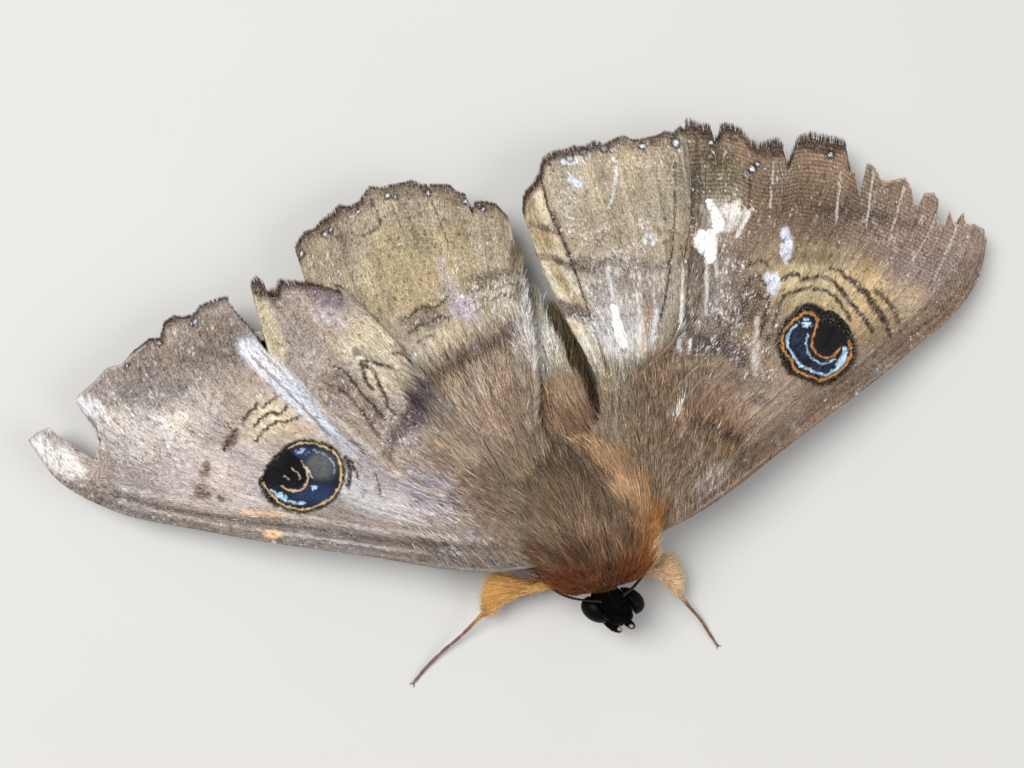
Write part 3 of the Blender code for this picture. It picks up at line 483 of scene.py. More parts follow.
# Bald places, painted over everything else: strength and outline
BARE = dict(
    forewing_left=(
        (1.0, ((705, 200), (710, 199), (715, 206), (721, 215), (724, 222), (722, 231), (714, 231),
         (712, 220), (708, 209))),
        (1.0, ((695, 234), (700, 230), (706, 231), (714, 229), (715, 244), (714, 262), (707, 264),
         (704, 256), (696, 250), (693, 243))),
        (0.35, ((724, 209), (740, 209), (742, 217), (736, 228), (731, 232), (722, 231), (726, 220))),
    ),
    hindwing_left=(
        (0.85, ((610, 304), (616, 305), (620, 318), (626, 336), (627, 348), (620, 346), (614, 330))),
    ),
)
# White dots with a dark edge near the ends of the veins: place and radius
DOTS = dict(
    forewing_right=((195, 322, 2.2), (191, 324, 1.4), (159, 343, 2.2), (127, 366, 1.6)),
    hindwing_right=((302, 254, 2.0), (298, 260, 1.4), (325, 234, 1.8), (331, 230, 1.4), (358, 212, 1.5),
        (388, 196, 2.0), (395, 197, 1.4), (428, 193, 2.0), (466, 201, 2.2), (479, 205, 1.5),
        (483, 209, 1.4)),
    hindwing_left=((570, 158, 3.0), (583, 152, 2.4), (604, 148, 3.4), (642, 146, 2.4), (676, 143, 3.8)),
    forewing_left=((711, 143, 2.2), (752, 169, 3.0), (757, 164, 1.8), (831, 155, 2.4)),
)
# Eyespots: black surround, dark blue field, rings, blue lace and glints, then the black bay
RING_LEFT = ((818, 320), (812, 314), (805, 313), (797, 318), (790, 324), (784, 331), (782, 340),
    (783, 348), (787, 355), (792, 362), (794, 368), (802, 373), (812, 377), (820, 380), (829, 378),
    (837, 373), (844, 367), (849, 359), (851, 349), (849, 342), (846, 336))
HOOK_LEFT = ((818, 320), (816, 327), (813, 335), (812, 343), (815, 351), (820, 356), (827, 358),
    (834, 355), (839, 348))
BAY_LEFT = ((820, 313), (830, 310), (840, 316), (850, 328), (852, 336), (845, 342), (838, 349),
    (829, 353), (820, 350), (816, 341), (818, 330))
RING_RIGHT = ((289, 448), (297, 444), (308, 443), (322, 446), (331, 450), (338, 458), (341, 467),
    (341, 478), (338, 488), (331, 498), (321, 505), (309, 509), (296, 509), (284, 505), (275, 499),
    (268, 491), (263, 482))
HOOK_RIGHT = ((280, 484), (286, 489), (294, 491), (302, 489), (307, 483), (308, 476), (306, 468),
    (300, 461), (292, 456))
BAY_RIGHT = ((266, 470), (272, 460), (281, 452), (290, 452), (299, 459), (305, 468), (306, 478),
    (301, 486), (293, 488), (283, 485), (272, 486), (264, 480))
EYESPOTS = dict(
    forewing_left=(
        ("band", BLACK, (1.0, 13, *RING_LEFT)),
        ("area", (0.05, 0.06, 0.1), (1.0, *RING_LEFT)),
        ("band", BLACK,
         (1.0, 10, (800, 311), (810, 307), (820, 312)),
         (1.0, 9, (784, 350), (785, 360), (790, 370))),
        ("dust", STEEL_BLUE,
         (0.9, (800, 345), (14, 26), -15),
         (0.9, (824, 366), (24, 10), -10)),
        ("line", SKY_BLUE,
         (0.8, 2.8, (796, 325), (790, 332), (787, 342), (790, 350), (794, 357), (799, 364), (808, 369),
          (817, 373), (825, 375), (833, 371), (840, 366), (846, 357)),
         (0.6, 1.8, (808, 334), (806, 344), (808, 352), (813, 359), (820, 363), (828, 363), (835, 359))),
        ("dust", SKY_BLUE, (1.0, (806, 323), (8, 6), 20)),
        ("line", SKY_BLUE, (0.9, 5, (845, 349), (843, 357), (838, 365))),
        ("line", ORANGE_RING,
         (1.0, 2.5, *RING_LEFT),
         (1.0, 2.2, *HOOK_LEFT)),
        ("area", BLACK, (1.0, *BAY_LEFT)),
    ),
    forewing_right=(
        ("band", BLACK, (1.0, 8, *RING_RIGHT)),
        ("area", (0.08, 0.1, 0.17), (1.0, *RING_RIGHT)),
        ("band", BLACK,
         (1.0, 8, (266, 481), (268, 470), (277, 459), (288, 448)),
         (0.9, 5, (346, 458), (350, 470), (348, 486)),
         (0.9, 7, (262, 480), (266, 494), (276, 504))),
        ("patch", (0.36, 0.37, 0.37), (0.95, (321, 465), (20, 17), 30)),
        ("patch", (0.16, 0.21, 0.34),
         (0.9, (314, 494), (28, 13), 0),
         (0.9, (303, 453), (14, 8), 0)),
        ("dust", SKY_BLUE, (0.7, (302, 452), (9, 5), 0)),
        ("line", SKY_BLUE,
         (0.8, 2.6, (272, 490), (280, 497), (291, 502), (305, 503)),
         (0.4, 1.6, (313, 450), (325, 455), (333, 463), (335, 474))),
        ("dust", SKY_BLUE,
         (0.95, (281, 496), (9, 5), 30),
         (0.8, (314, 488), (5, 4), 0)),
        ("line", (0.8, 0.68, 0.47), (1.0, 1.9, *RING_RIGHT)),
        ("line", (0.8, 0.66, 0.46), (1.0, 1.9, *HOOK_RIGHT)),
        ("area", BLACK, (1.0, *BAY_RIGHT)),
        # Pale strokes on the black bay: painted glints
        ("line", WORN_AND_GLINT_GREY,
         (0.7, 1.8, (292, 468), (297, 473), (300, 479)),
         (0.8, 2.0, (304, 466), (309, 472), (312, 477)),
         (0.6, 1.6, (284, 476), (289, 479))),
    ),
)
# Outline of the glossy field of each eyespot
EYE_FIELDS = dict(forewing_left=RING_LEFT, forewing_right=RING_RIGHT)
UNDER_FINISH = (0.0, 0.3, 0.0)  # gloss, wear and ripple of the underside
WARM_TINT = (1.05, 1.0, 0.93)  # how warm and cold places of a wing differ
FRINGE_DENSITY = 10  # fringe scales for each column of the wing mesh
# Fine cross bands of the outer part of each wing
RIPPLE_SPACING = 0.4
RIPPLE_REACH = 13.0

# Numbers of strands and scales in a piece
BASE_HAIRS = dict(fore=9000, hind=5600)
INNER_HAIRS = 1900
THORAX_STRANDS = 5800
BRUSH_SCALES = 3200
LEG_SCALES = 1500
PALP_SCALES = 1200
# Section of a strand across and out from its middle, in widths
STRAND_SECTION = ((1.0, 0.0), (-1.0, 0.0), (0.0, 0.9))
SCALE_WIDTH = 0.035
UV_SHRINK = 0.99  # keeps maps clear of their edge
# Pale orange streak of the thorax: x where y is 0, and its slope
STREAK_X = 5.1
STREAK_SLOPE = -0.43
# Lie of the hair: x, y, degrees towards +x from the tail's direction
LIE = ((0.0, -3.6, 2.0), (0.0, 1.0, 2.0), (0.5, 6.0, 2.0), (4.2, -2.0, -14.0), (3.4, 2.0, -18.0),
    (1.8, 7.0, -17.0), (-3.4, -1.5, -20.0), (-3.6, 3.0, -24.0), (-5.2, 0.0, -42.0), (-5.6, 4.5, -40.0),
    (-10.0, 6.0, -46.0), (-16.0, 9.0, -50.0), (-8.0, 10.5, -32.0), (-4.5, 15.0, -4.0),
    (-7.0, 20.0, -10.0), (6.2, 1.0, 14.0), (8.0, 4.0, 32.0), (9.0, 10.0, 14.0), (14.0, 6.0, 42.0),
    (13.0, 12.0, 20.0), (0.0, 14.0, 0.0), (0.0, 22.0, 0.0), (5.0, 14.0, 4.0), (4.0, 10.0, 2.0),
    (-2.5, 9.0, -8.0))

ANTENNA = ((1.0, -4.95, 6.2, 0.14), (2.2, -4.5, 6.05, 0.115), (3.9, -3.55, 5.4, 0.11),
    (5.1, -2.1, 5.15, 0.11), (6.0, 0.3, 5.0, 0.11), (6.4, 3.6, 4.7, 0.11), (7.0, 7.5, 4.3, 0.09),
    (7.5, 11.3, 3.8, 0.06))
PALP = ((0.8, -5.9, 2.3, 0.3), (0.8, -6.9, 1.95, 0.42), (0.75, -7.7, 2.6, 0.4), (0.66, -8.05, 3.6, 0.33),
    (0.52, -8.0, 4.5, 0.13))
FORELEG_RIGHT = ((2.9, -2.1, 2.1, 0.42), (4.4, -2.7, 2.4, 0.55), (6.6, -2.7, 2.8, 0.46),
    (9.0, -3.1, 2.4, 0.36), (10.4, -3.9, 1.8, 0.2), (12.7, -5.4, 0.9, 0.16), (15.0, -6.6, 0.42, 0.15),
    (17.0, -7.9, 0.16, 0.14), (17.9, -8.6, 0.12, 0.11))
FORELEG_LEFT = ((2.9, -2.1, 2.1, 0.42), (4.5, -3.5, 2.5, 0.55), (6.0, -4.8, 2.8, 0.44),
    (7.1, -6.4, 2.1, 0.3), (8.0, -8.0, 1.2, 0.19), (9.1, -9.9, 0.5, 0.16), (9.8, -11.7, 0.17, 0.14),
    (10.2, -12.7, 0.12, 0.11))
MIDLEG = ((3.0, 1.4, 1.9, 0.36), (5.6, 0.6, 2.0, 0.5), (7.6, 0.4, 2.9, 0.44), (9.6, 1.3, 1.9, 0.32),
    (11.4, 2.3, 0.9, 0.22), (13.2, 3.2, 0.25, 0.17), (14.4, 3.9, 0.13, 0.12))
HINDLEG = ((2.6, 5.0, 1.9, 0.36), (4.9, 7.0, 2.0, 0.5), (6.6, 9.4, 2.7, 0.44), (8.2, 12.2, 1.8, 0.32),
    (9.6, 15.0, 0.8, 0.22), (10.6, 17.6, 0.25, 0.17), (11.1, 19.0, 0.13, 0.12))
# Brush of a foreleg: shares of the leg where it starts and ends, then length and backward spread
# of its first and last scales
BRUSH_RIGHT = dict(start=0.06, end=0.34, length=(6.2, 2.3), spread=(2.2, -0.6), colour=TUFT_GOLD)
BRUSH_LEFT = dict(start=0.2, end=0.42, length=(1.4, 1.2), spread=(2.1, 0.1), colour=TUFT_CREAM)
FORELEGS = dict(right=(FORELEG_RIGHT, BRUSH_RIGHT), left=(FORELEG_LEFT, BRUSH_LEFT))
TARSI = (0.62, 0.70, 0.78, 0.86, 0.93)  # joints of a foot, as shares of the leg
PALP_JOINTS = (0.3, 0.72)
# Steps along a limb and sides round it
LEG_MESH = (150, 14)
ANTENNA_MESH = (400, 10)
PALP_MESH = (60, 16)
LEG_THINNING = 0.25
ANTENNA_RINGS = 64


def head_shift(y):
    """Sideways shift of what the turned head carries, growing forward from the neck."""
    front, rear = HEAD[0][0], HEAD[-1][0]
    return HEAD_TURN * np.maximum(0.0, (rear - y) / (rear - front))


def row_origin():
    """Where the part's plan has the frame's origin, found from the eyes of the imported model."""
    low = np.minimum(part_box("eye_left")[0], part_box("eye_right")[0])
    high = np.maximum(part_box("eye_left")[1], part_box("eye_right")[1])
    middle = (low + high) / 2 / MM
    eyes = (head_shift(EYE_CENTRE[1]), EYE_CENTRE[1])
    return np.array([eyes[0] - middle[0], eyes[1] - middle[1], 0.0])


ORIGIN = row_origin()


def to_row(points):
    """From the part's plan in millimetres to the frame in metres."""
    return (np.asarray(points, float) - ORIGIN) * MM


def unit(vectors):
    """The vectors at length one."""
    return vectors / np.maximum(np.linalg.norm(vectors, axis=-1, keepdims=True), 1e-9)


def linear(colour):
    """sRGB to linear light."""
    c = np.asarray(colour, float)
    return np.where(c <= 0.04045, c / 12.92, ((c + 0.055) / 1.055) ** 2.4)


def smooth(low, high, value):
    """0 up to low, rising to 1 at high."""
    t = np.clip((value - low) / (high - low), 0.0, 1.0)
    return t * t * (3 - 2 * t)


def fading(low, high, value):
    """1 up to low, falling to 0 at high."""
    return 1.0 - smooth(low, high, value)


def circle(count):
    """Angles evenly round a circle."""
    return np.linspace(0.0, TURN, count, endpoint=False)


def lattice(ix, iy, seed):
    """A repeatable number from 0 to 1 for each cell of a grid."""
    h = (ix * 374761393 + iy * 668265263 + seed * 2147483647) & 0xFFFFFFFF
    h = ((h ^ (h >> 13)) * 1274126177) & 0xFFFFFFFF
    return ((h ^ (h >> 16)) & 0xFFFF) / 65535.0


def noise(points, size, seed=0):
    """Smooth random field from 0 to 1 over a plane."""
    p = np.asarray(points, float) / size
    cell = np.floor(p).astype(np.int64)
    f = p - cell
    f = f * f * (3 - 2 * f)
    a, b = cell[..., 0], cell[..., 1]
    u, v = f[..., 0], f[..., 1]
    near = lattice(a, b, seed) * (1 - u) + lattice(a + 1, b, seed) * u
    far = lattice(a, b + 1, seed) * (1 - u) + lattice(a + 1, b + 1, seed) * u
    return near * (1 - v) + far * v


def spline(points, places):
    """Points of a smooth curve through the given ones, at these shares of its chord length."""
    points = np.asarray(points, float)
    chord = np.r_[0.0, np.cumsum(np.linalg.norm(np.diff(points, axis=0), axis=1))]
    chord /= chord[-1]
    if len(points) > 2:
        slope = np.gradient(points, chord, axis=0)
    else:
        slope = np.tile(points[1] - points[0], (2, 1))
    places = np.asarray(places, float)
    k = np.clip(np.searchsorted(chord, places, side="right") - 1, 0, len(chord) - 2)
    step = (chord[k + 1] - chord[k])[:, None]
    u = (places[:, None] - chord[k][:, None]) / step
    return (
        (2 * u**3 - 3 * u**2 + 1) * points[k]
        + (u**3 - 2 * u**2 + u) * step * slope[k]
        + (3 * u**2 - 2 * u**3) * points[k + 1]
        + (u**3 - u**2) * step * slope[k + 1]
    )


def view_axes():
    """Right, up and back directions of the camera in the part's plan."""
    back = np.array([-math.sin(VIEW_TILT), 0.0, math.cos(VIEW_TILT)])
    right = np.cross((0.0, 1.0, 0.0), back)
    right /= np.linalg.norm(right)
    up = np.cross(back, right)
    c, s = math.cos(VIEW_ROLL), math.sin(VIEW_ROLL)
    return c * right - s * up, s * right + c * up, back


def view_place():
    """Camera position in the part's plan, and its focal length in pixels."""
    right, up, back = view_axes()
    focal = PIXELS_PER_MM * VIEW_DISTANCE
    across = (VIEW_AIM_PIXEL[0] - FRAME_SIZE[0] / 2) / focal
    rise = (FRAME_SIZE[1] / 2 - VIEW_AIM_PIXEL[1]) / focal
    ray = across * right + rise * up - back
    return np.array(VIEW_AIM) - ray * VIEW_DISTANCE, focal


def to_photo(points):
    """Pixels of the photograph that points of the part fall on."""
    right, up, back = view_axes()
    place, focal = view_place()
    r = np.asarray(points, float) - place
    depth = -(r @ back)
    across = FRAME_SIZE[0] / 2 + focal * (r @ right) / depth
    down = FRAME_SIZE[1] / 2 - focal * (r @ up) / depth
    return np.stack([across, down], -1)


# Pieces

def grid_faces(ids):
    """Two triangles for each cell of a grid of point numbers."""
    corners = (ids[:-1, :-1], ids[:-1, 1:], ids[1:, 1:], ids[1:, :-1])
    a, b, c, d = (corner.ravel() for corner in corners)
    return np.concatenate([np.stack([a, b, c], 1), np.stack([a, c, d], 1)])


def closed_rings(rings, ends):
    """Points and faces of a run of rings, closed by a point at its start and one at its end."""
    steps, sides = rings.shape[:2]
    ids = np.arange(steps * sides).reshape(steps, sides)
    wrap = np.concatenate([ids, ids[:, :1]], 1)
    first, last = (np.full(sides, steps * sides + k) for k in (0, 1))
    faces = (
        grid_faces(wrap),
        np.stack([wrap[0, 1:], wrap[0, :-1], first], 1),
        np.stack([wrap[-1, :-1], wrap[-1, 1:], last], 1),
    )
    return np.concatenate([rings.reshape(-1, 3), ends]), np.concatenate(faces)


def make_piece(name, look, points, triangles, nodes=(), paint=None, extra=None, uv=None):
    """A smooth mesh object, in millimetres, that rides with the part and stands for the nodes."""
    mesh = bpy.data.meshes.new(name)
    triangles = np.asarray(triangles, np.int32)
    mesh.vertices.add(len(points))
    mesh.vertices.foreach_set("co", to_row(points).astype(np.float32).ravel())
    mesh.loops.add(triangles.size)
    mesh.loops.foreach_set("vertex_index", triangles.ravel())
    mesh.polygons.add(len(triangles))
    mesh.polygons.foreach_set("loop_start", np.arange(0, triangles.size, 3, dtype=np.int32))
    mesh.update(calc_edges=True)
    mesh.validate()
    if paint is not None:
        colours = np.ones((len(points), 4), np.float32)
        colours[:, :3] = np.clip(paint, 0.0, 1.0)
        layer = mesh.color_attributes.new("paint", "FLOAT_COLOR", "POINT")
        layer.data.foreach_set("color", colours.ravel())
    for key, values in (extra or {}).items():
        layer = mesh.attributes.new(key, "FLOAT_VECTOR", "POINT")
        layer.data.foreach_set("vector", np.asarray(values, np.float32).ravel())
    if uv is not None:
        layer = mesh.uv_layers.new(name="OFBake")
        layer.data.foreach_set("uv", np.asarray(uv, np.float32)[triangles.ravel()].ravel())
    mesh.materials.append(look)
    mesh.shade_smooth()
    piece = bpy.data.objects.new(name, mesh)
    bpy.context.scene.collection.objects.link(piece)
    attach(piece, "root")
    if nodes:
        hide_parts(*nodes)


# Materials

class Look:
    """A material in the making: its nodes, their links and the shader they feed."""

    def __init__(self, name, roughness, specular):
        self.made = bpy.data.materials.new(name)
        self.made.use_nodes = True
        self.tree = self.made.node_tree
        self.shader = self.tree.nodes["Principled BSDF"]
        self.feed(self.shader.inputs["Roughness"], roughness)
        self.feed(self.shader.inputs["Specular IOR Level"], specular)

    def feed(self, socket, value):
        """A link from another socket, or a value to keep."""
        if isinstance(value, bpy.types.NodeSocket):
            self.tree.links.new(value, socket)
        else:
            socket.default_value = value

    def add(self, kind, inputs, operation=None):
        """A node with its inputs, keyed by name or number."""
        node = self.tree.nodes.new("ShaderNode" + kind)
        if operation is not None:
            node.operation = operation
        for key, value in inputs.items():
            self.feed(node.inputs[key], value)
        return node

    def attribute(self, name, output):
        node = self.add("Attribute", {})
        node.attribute_name = name
        return node.outputs[output]

    def place(self):
        return self.add("TexCoord", {}).outputs["Object"]

    def noise(self, source, scale, detail=3.0, rough=0.6):
        settings = dict(Vector=source, Scale=scale, Detail=detail, Roughness=rough)
        return self.add("TexNoise", settings).outputs["Fac"]

    def spread(self, value, low, high, to_low, to_high):
        return self.add("MapRange", {0: value, 1: low, 2: high, 3: to_low, 4: to_high}).outputs[0]

    def math(self, operation, a, b=0.0):
        return self.add("Math", {0: a, 1: b}, operation).outputs[0]

    def times(self, a, b):
        return self.math("MULTIPLY", a, b)

    def stretched(self, vector, factors):
        return self.add("VectorMath", {0: vector, 1: factors}, "MULTIPLY").outputs[0]

    def toned(self, colour, tone):
        """The colour made lighter or darker."""
        return self.add("VectorMath", {0: colour, "Scale": tone}, "SCALE").outputs[0]

    def colour(self, value):
        self.feed(self.shader.inputs["Base Color"], value)

    def ramp(self, value, low, high):
        node = self.add("ValToRGB", dict(Fac=value))
        for element, grey in zip(node.color_ramp.elements, (low, high)):
            element.color = (*grey, 1.0)
        return node.outputs["Color"]

    def bump(self, height, distance, strength):
        node = self.add("Bump", dict(Height=height, Distance=distance, Strength=strength))
        self.feed(self.shader.inputs["Normal"], node.outputs["Normal"])


def scale_material():
    """Wing scales: painted colour broken into streaks along the veins, pale and dark flecks."""
    look = Look("wing_scales", 0.75, 0.15)
    lie = look.attribute("lie", "Vector")
    gloss, wear, ripple = look.add("SeparateXYZ", {0: look.attribute("finish", "Vector")}).outputs
    streak = look.noise(look.stretched(lie, (7.5, 1.6, 0.0)), 1.0, 4.0, 0.65)
    grain = look.noise(look.stretched(lie, (10.0, 5.5, 3.0)), 1.0, 2.0)
    tone = look.times(look.spread(streak, 0.3, 0.7, 0.48, 1.50),
                      look.spread(grain, 0.3, 0.7, 0.62, 1.38))
    inward = look.add("SeparateXYZ", {0: lie}).outputs["Z"]
    phase = look.times(inward, TURN / RIPPLE_SPACING)
    wave = look.math("SINE", look.math("ADD", phase, look.times(streak, 3.5)))
    tone = look.times(tone, look.math("ADD", look.times(wave, ripple), 1.0))
    mix = look.add("Mix", {})
    mix.data_type = "RGBA"
    look.feed(mix.inputs["Factor"], look.times(look.spread(grain, 0.57, 0.66, 0.0, 1.0), wear))
    look.feed(mix.inputs[6], look.toned(look.attribute("paint", "Color"), tone))
    look.feed(mix.inputs[7], (*linear(WORN_AND_GLINT_GREY), 1.0))
    look.colour(mix.outputs[2])
    look.feed(look.shader.inputs["Roughness"], look.spread(gloss, 0.0, 1.0, 0.8, 0.3))
    look.bump(look.math("ADD", streak, grain), 0.00007, 0.9)
    return look.made


def coat_material(name, roughness=0.6, specular=0.2):
    """Hair-like scales: painted colour with fine streaks."""
    look = Look(name, roughness, specular)
    fine = look.noise(look.place(), 5000, 2.0)
    tone = look.spread(fine, 0.3, 0.7, 0.75, 1.25)
    look.colour(look.toned(look.attribute("paint", "Color"), tone))
    return look.made


def eye_material():
    """Compound eye: glossy black with a fine net of facets."""
    look = Look("eye_facets", 0.38, 0.05)
    place = look.place()
    cells = look.add("TexVoronoi", dict(Scale=9000, Vector=place))
    look.colour(look.ramp(look.noise(place, 700), (0.001, 0.001, 0.001), (0.0035, 0.003, 0.003)))
    look.bump(cells.outputs["Distance"], 0.00002, 0.5)
    return look.made


def floor_material():
    look = Look("pale_floor", 0.7, 0.2)
    look.colour(look.ramp(look.noise(look.place(), 30), (0.55, 0.545, 0.535), (0.58, 0.575, 0.565)))
    return look.made


# Wings

def wing_level(x, y):
    """Height of a resting wing, falling away from its base."""
    away = np.hypot(x, y - WING_BASE_Y)
    share = np.maximum(0.0, away - LEVEL_START) / LEVEL_REACH
    return LEVEL_AT_BASE - LEVEL_FALL * share**LEVEL_POWER


def body_sizes(stations, y):
    """Half width, half height and middle height of the body at y."""
    table = np.asarray(sorted(stations))
    return (np.interp(y, table[:, 0], table[:, k]) for k in (1, 2, 3))


def thorax_side(y, z):
    """How far out the side of the thorax is at y and height z."""
    width, height, middle = body_sizes(THORAX, y)
    off = np.clip(np.abs(z - middle) / height, 0.0, 1.0)
    return width * (1.0 - off**BODY_POWER) ** (1.0 / BODY_POWER)


def wing_plan(wing, places, rows):
    """Plan of the unworn wing as a blend of its four edges: an array [row, column] of x, y."""
    low_y, high_y = wing["base"]
    base_y = low_y + (high_y - low_y) * places
    base = np.stack([thorax_side(base_y, LEVEL_AT_BASE + wing["lift"]) - GAP, base_y], 1)
    costa = spline([tuple(base[0]), *wing["costa"]], rows)
    inner = spline([tuple(base[-1]), *wing["inner"], wing["margin"][-1]], rows)
    margin = spline([wing["costa"][-1], *wing["margin"]], places)
    s = places[None, :, None]
    t = rows[:, None, None]
    across = (1 - s) * costa[:, None] + s * inner[:, None]
    along = (1 - t) * base[None] + t * margin[None]
    near = (1 - s) * base[0] + s * base[-1]
    far = (1 - s) * margin[0] + s * margin[-1]
    return across + along - (1 - t) * near - t * far


def folded_plan(wing, places, rows):
    """The plan drawn towards the line along which the wing is folded."""
    plan = wing_plan(wing, places, rows)
    if wing["pleat"] is None:
        return plan
    place, line = wing["pleat"]
    three = np.array([0.0, place, 1.0])
    ends = wing_plan(wing, three, np.array([0.0, 1.0]))[:, 1]
    fold = spline([tuple(ends[0]), *line, tuple(ends[1])], rows)
    straight = wing_plan(wing, three, rows)[:, 1]
    near = np.interp(places, three, (0.0, 1.0, 0.0))
    return plan + near[None, :, None] * (fold - straight)[:, None]


def plan_seen(wing, plan):
    """Pixels of the photograph that the resting wing falls on."""
    x, y = plan[..., 0], plan[..., 1]
    return to_photo(np.stack([wing["side"] * x, y, wing_level(x, y) + wing["lift"]], -1))


def torn_ends(wing, plan, rows):
    """Share of each column's length at which it meets the torn outline."""
    outer = rows > TORN_FROM
    seen, share = plan_seen(wing, plan)[outer], rows[outer]
    line = np.asarray(wing["torn"], float)
    line = line + noise(line * 3.1, 1.0, 5)[:, None] - 0.5
    a, b = seen[:-1, :, None], seen[1:, :, None]
    p, q = line[None, None, :-1], line[None, None, 1:]
    r, s = b - a, q - p

    def cross(first, second):
        return first[..., 0] * second[..., 1] - first[..., 1] * second[..., 0]

    whole = cross(r, s)
    whole = np.where(np.abs(whole) < 1e-9, 1e-9, whole)
    t, u = cross(p - a, s) / whole, cross(p - a, r) / whole
    hit = (t >= 0) & (t <= 1) & (u >= 0) & (u <= 1)
    place = share[:-1, None, None] + t * (share[1:] - share[:-1])[:, None, None]
    place = np.where(hit, place, 2.0).min((0, 2))
    return np.minimum(place, 1.0)


def dense_near(count, focus, half):
    """Shares from 0 to 1, set twice as close together around a focus."""
    fine = np.linspace(0.0, 1.0, 2001)
    density = 1.0 + fading(half, 1.5 * half, np.abs(fine - focus))
    total = np.r_[0.0, np.cumsum((density[1:] + density[:-1]) / 2)]
    return np.interp(np.linspace(0.0, total[-1], count), total, fine)


def wing_focus(wing):
    """Column and row shares at the middle of the eyespot."""
    count = 61
    shares = np.linspace(0.0, 1.0, count)
    away = plan_seen(wing, folded_plan(wing, shares, shares)) - wing["eyespot"]
    row, column = divmod(int(np.hypot(*away.T).T.argmin()), count)
    return shares[column], shares[row]


def fringe_length(wing, seen):
    """Length of the fringe along the margin, mm, by how far right it is in the photograph."""
    table = np.asarray(wing["fringe"])
    return np.interp(seen[:, 0], table[:, 0], table[:, 1])


def wing_grid(wing):
    """Places, rows, the worn plan of a wing and its unworn length at each column."""
    columns, count = (
        int(wing[key] / SCALE_STEP) // UNDER_STEP * UNDER_STEP + 1 for key in ("breadth", "length"))
    places = np.linspace(0.0, 1.0, columns)
    rows = np.linspace(0.0, 1.0, count)
    if wing["eyespot"] is not None:
        column, row = wing_focus(wing)
        places = dense_near(columns, column, FOCUS_COLUMNS)
        rows = dense_near(count, row, FOCUS_ROWS)
    full = folded_plan(wing, places, rows)
    ends = torn_ends(wing, full, rows)
    worn = np.empty_like(full)
    for k in range(columns):
        for axis in (0, 1):
            worn[:, k, axis] = np.interp(rows * ends[k], rows, full[:, k, axis])
    return places, rows, worn, ends


def vein_share(wing, places, rows, plan):
    """1 on the veins, falling to 0 beside them."""
    spread = np.hypot(*np.moveaxis(np.gradient(plan, axis=1), -1, 0)) / np.gradient(places)
    width = np.maximum(VEIN_WIDTH / np.maximum(spread, 1e-3), 0.004)
    share = np.zeros(plan.shape[:2])
    for vein in wing["veins"]:
        share = share + np.exp(-(((places[None, :] - vein) / width) ** 2))
    return share * smooth(0.0, 0.2, rows)[:, None]


def wing_height(wing, places, rows, plan):
    """Height of the upper side: the resting level with veins, folds and a soft wave."""
    height = wing_level(plan[..., 0], plan[..., 1]) + wing["lift"]
    height = height + VEIN_HEIGHT * vein_share(wing, places, rows, plan)
    if wing["pleat"] is not None:
        raised = np.exp(-(((places - wing["pleat"][0]) / PLEAT_WIDTH) ** 2))
        height = height + PLEAT_HEIGHT * raised * np.sin(math.pi * np.minimum(1.0, rows))[:, None]
    wave = 0.5 * (noise(plan, 5.0, 3) - 0.5) + 0.12 * (noise(plan, 1.3, 4) - 0.5)
    return height + wave * smooth(0.1, 0.5, rows)[:, None]


def stroke(q, points, width, wobble):
    """1 on a line through the points, falling to 0 at its edges."""
    points = np.asarray(points, float)
    low, high = points.min(0) - 2 * width, points.max(0) + 2 * width
    near = ((q > low) & (q < high)).all(-1)
    mask = np.zeros(len(q))
    if not near.any():
        return mask
    line = spline(points, np.linspace(0.0, 1.0, 5 * len(points)))
    spot = q[near] + wobble[near]
    best = np.full(len(spot), np.inf)
    for a, b in zip(line, line[1:]):
        ab = b - a
        t = np.clip(((spot - a) @ ab) / max(ab @ ab, 1e-9), 0.0, 1.0)
        best = np.minimum(best, ((spot - a - t[:, None] * ab) ** 2).sum(1))
    mask[near] = fading(0.25 * width, 0.75 * width, np.sqrt(best))
    return mask


def patch(q, middle, half, turn):
    """1 in the middle of a soft oval, falling to 0 at its rim."""
    c, s = math.cos(math.radians(turn)), math.sin(math.radians(turn))
    d = q - np.asarray(middle, float)
    u = (d[:, 0] * c + d[:, 1] * s) / half[0]
    v = (d[:, 1] * c - d[:, 0] * s) / half[1]
    return fading(0.35, 1.15, np.hypot(u, v))


def blend(paint, colour, mask):
    """Linear paint with a colour laid over it as far as the mask goes."""
    return paint + (linear(colour) - paint) * np.clip(mask, 0.0, 1.0)[:, None]


def enclosed_by(q, outline):
    """1 inside a closed outline."""
    line = spline(list(outline) + [outline[0]], np.linspace(0.0, 1.0, 5 * len(outline)))
    low, high = line.min(0), line.max(0)
    near = ((q > low) & (q < high)).all(-1)
    mask = np.zeros(len(q))
    spot = q[near]
    crossings = np.zeros(len(spot), int)
    for a, b in zip(line, line[1:]):
        if a[1] == b[1]:
            continue
        spans = (spot[:, 1] < a[1]) != (spot[:, 1] < b[1])
        x = a[0] + (spot[:, 1] - a[1]) / (b[1] - a[1]) * (b[0] - a[0])
        crossings += spans & (spot[:, 0] < x)
    mask[near] = crossings % 2
    return mask


def paint_marks(marks, q, paint, wobble, grain, clumps):
    """Marks laid over the paint in their order."""
    for kind, colour, *runs in marks:
        for strength, *shape in runs:
            if kind == "area":
                mask = enclosed_by(q + 0.4 * wobble, shape)
            elif kind in ("line", "band"):
                mask = stroke(q, shape[1:], shape[0], wobble)
            else:
                mask = patch(q, *shape)
            if kind == "line":
                mask = mask * (0.62 + 0.76 * grain)
            elif kind == "patch":
                mask = mask * (0.8 + 0.4 * clumps)
            elif kind == "dust":
                mask = mask * smooth(0.58, 0.72, 0.6 * grain + 0.25 * clumps + 0.38 * mask)
            paint = blend(paint, colour, strength * mask)
    return paint


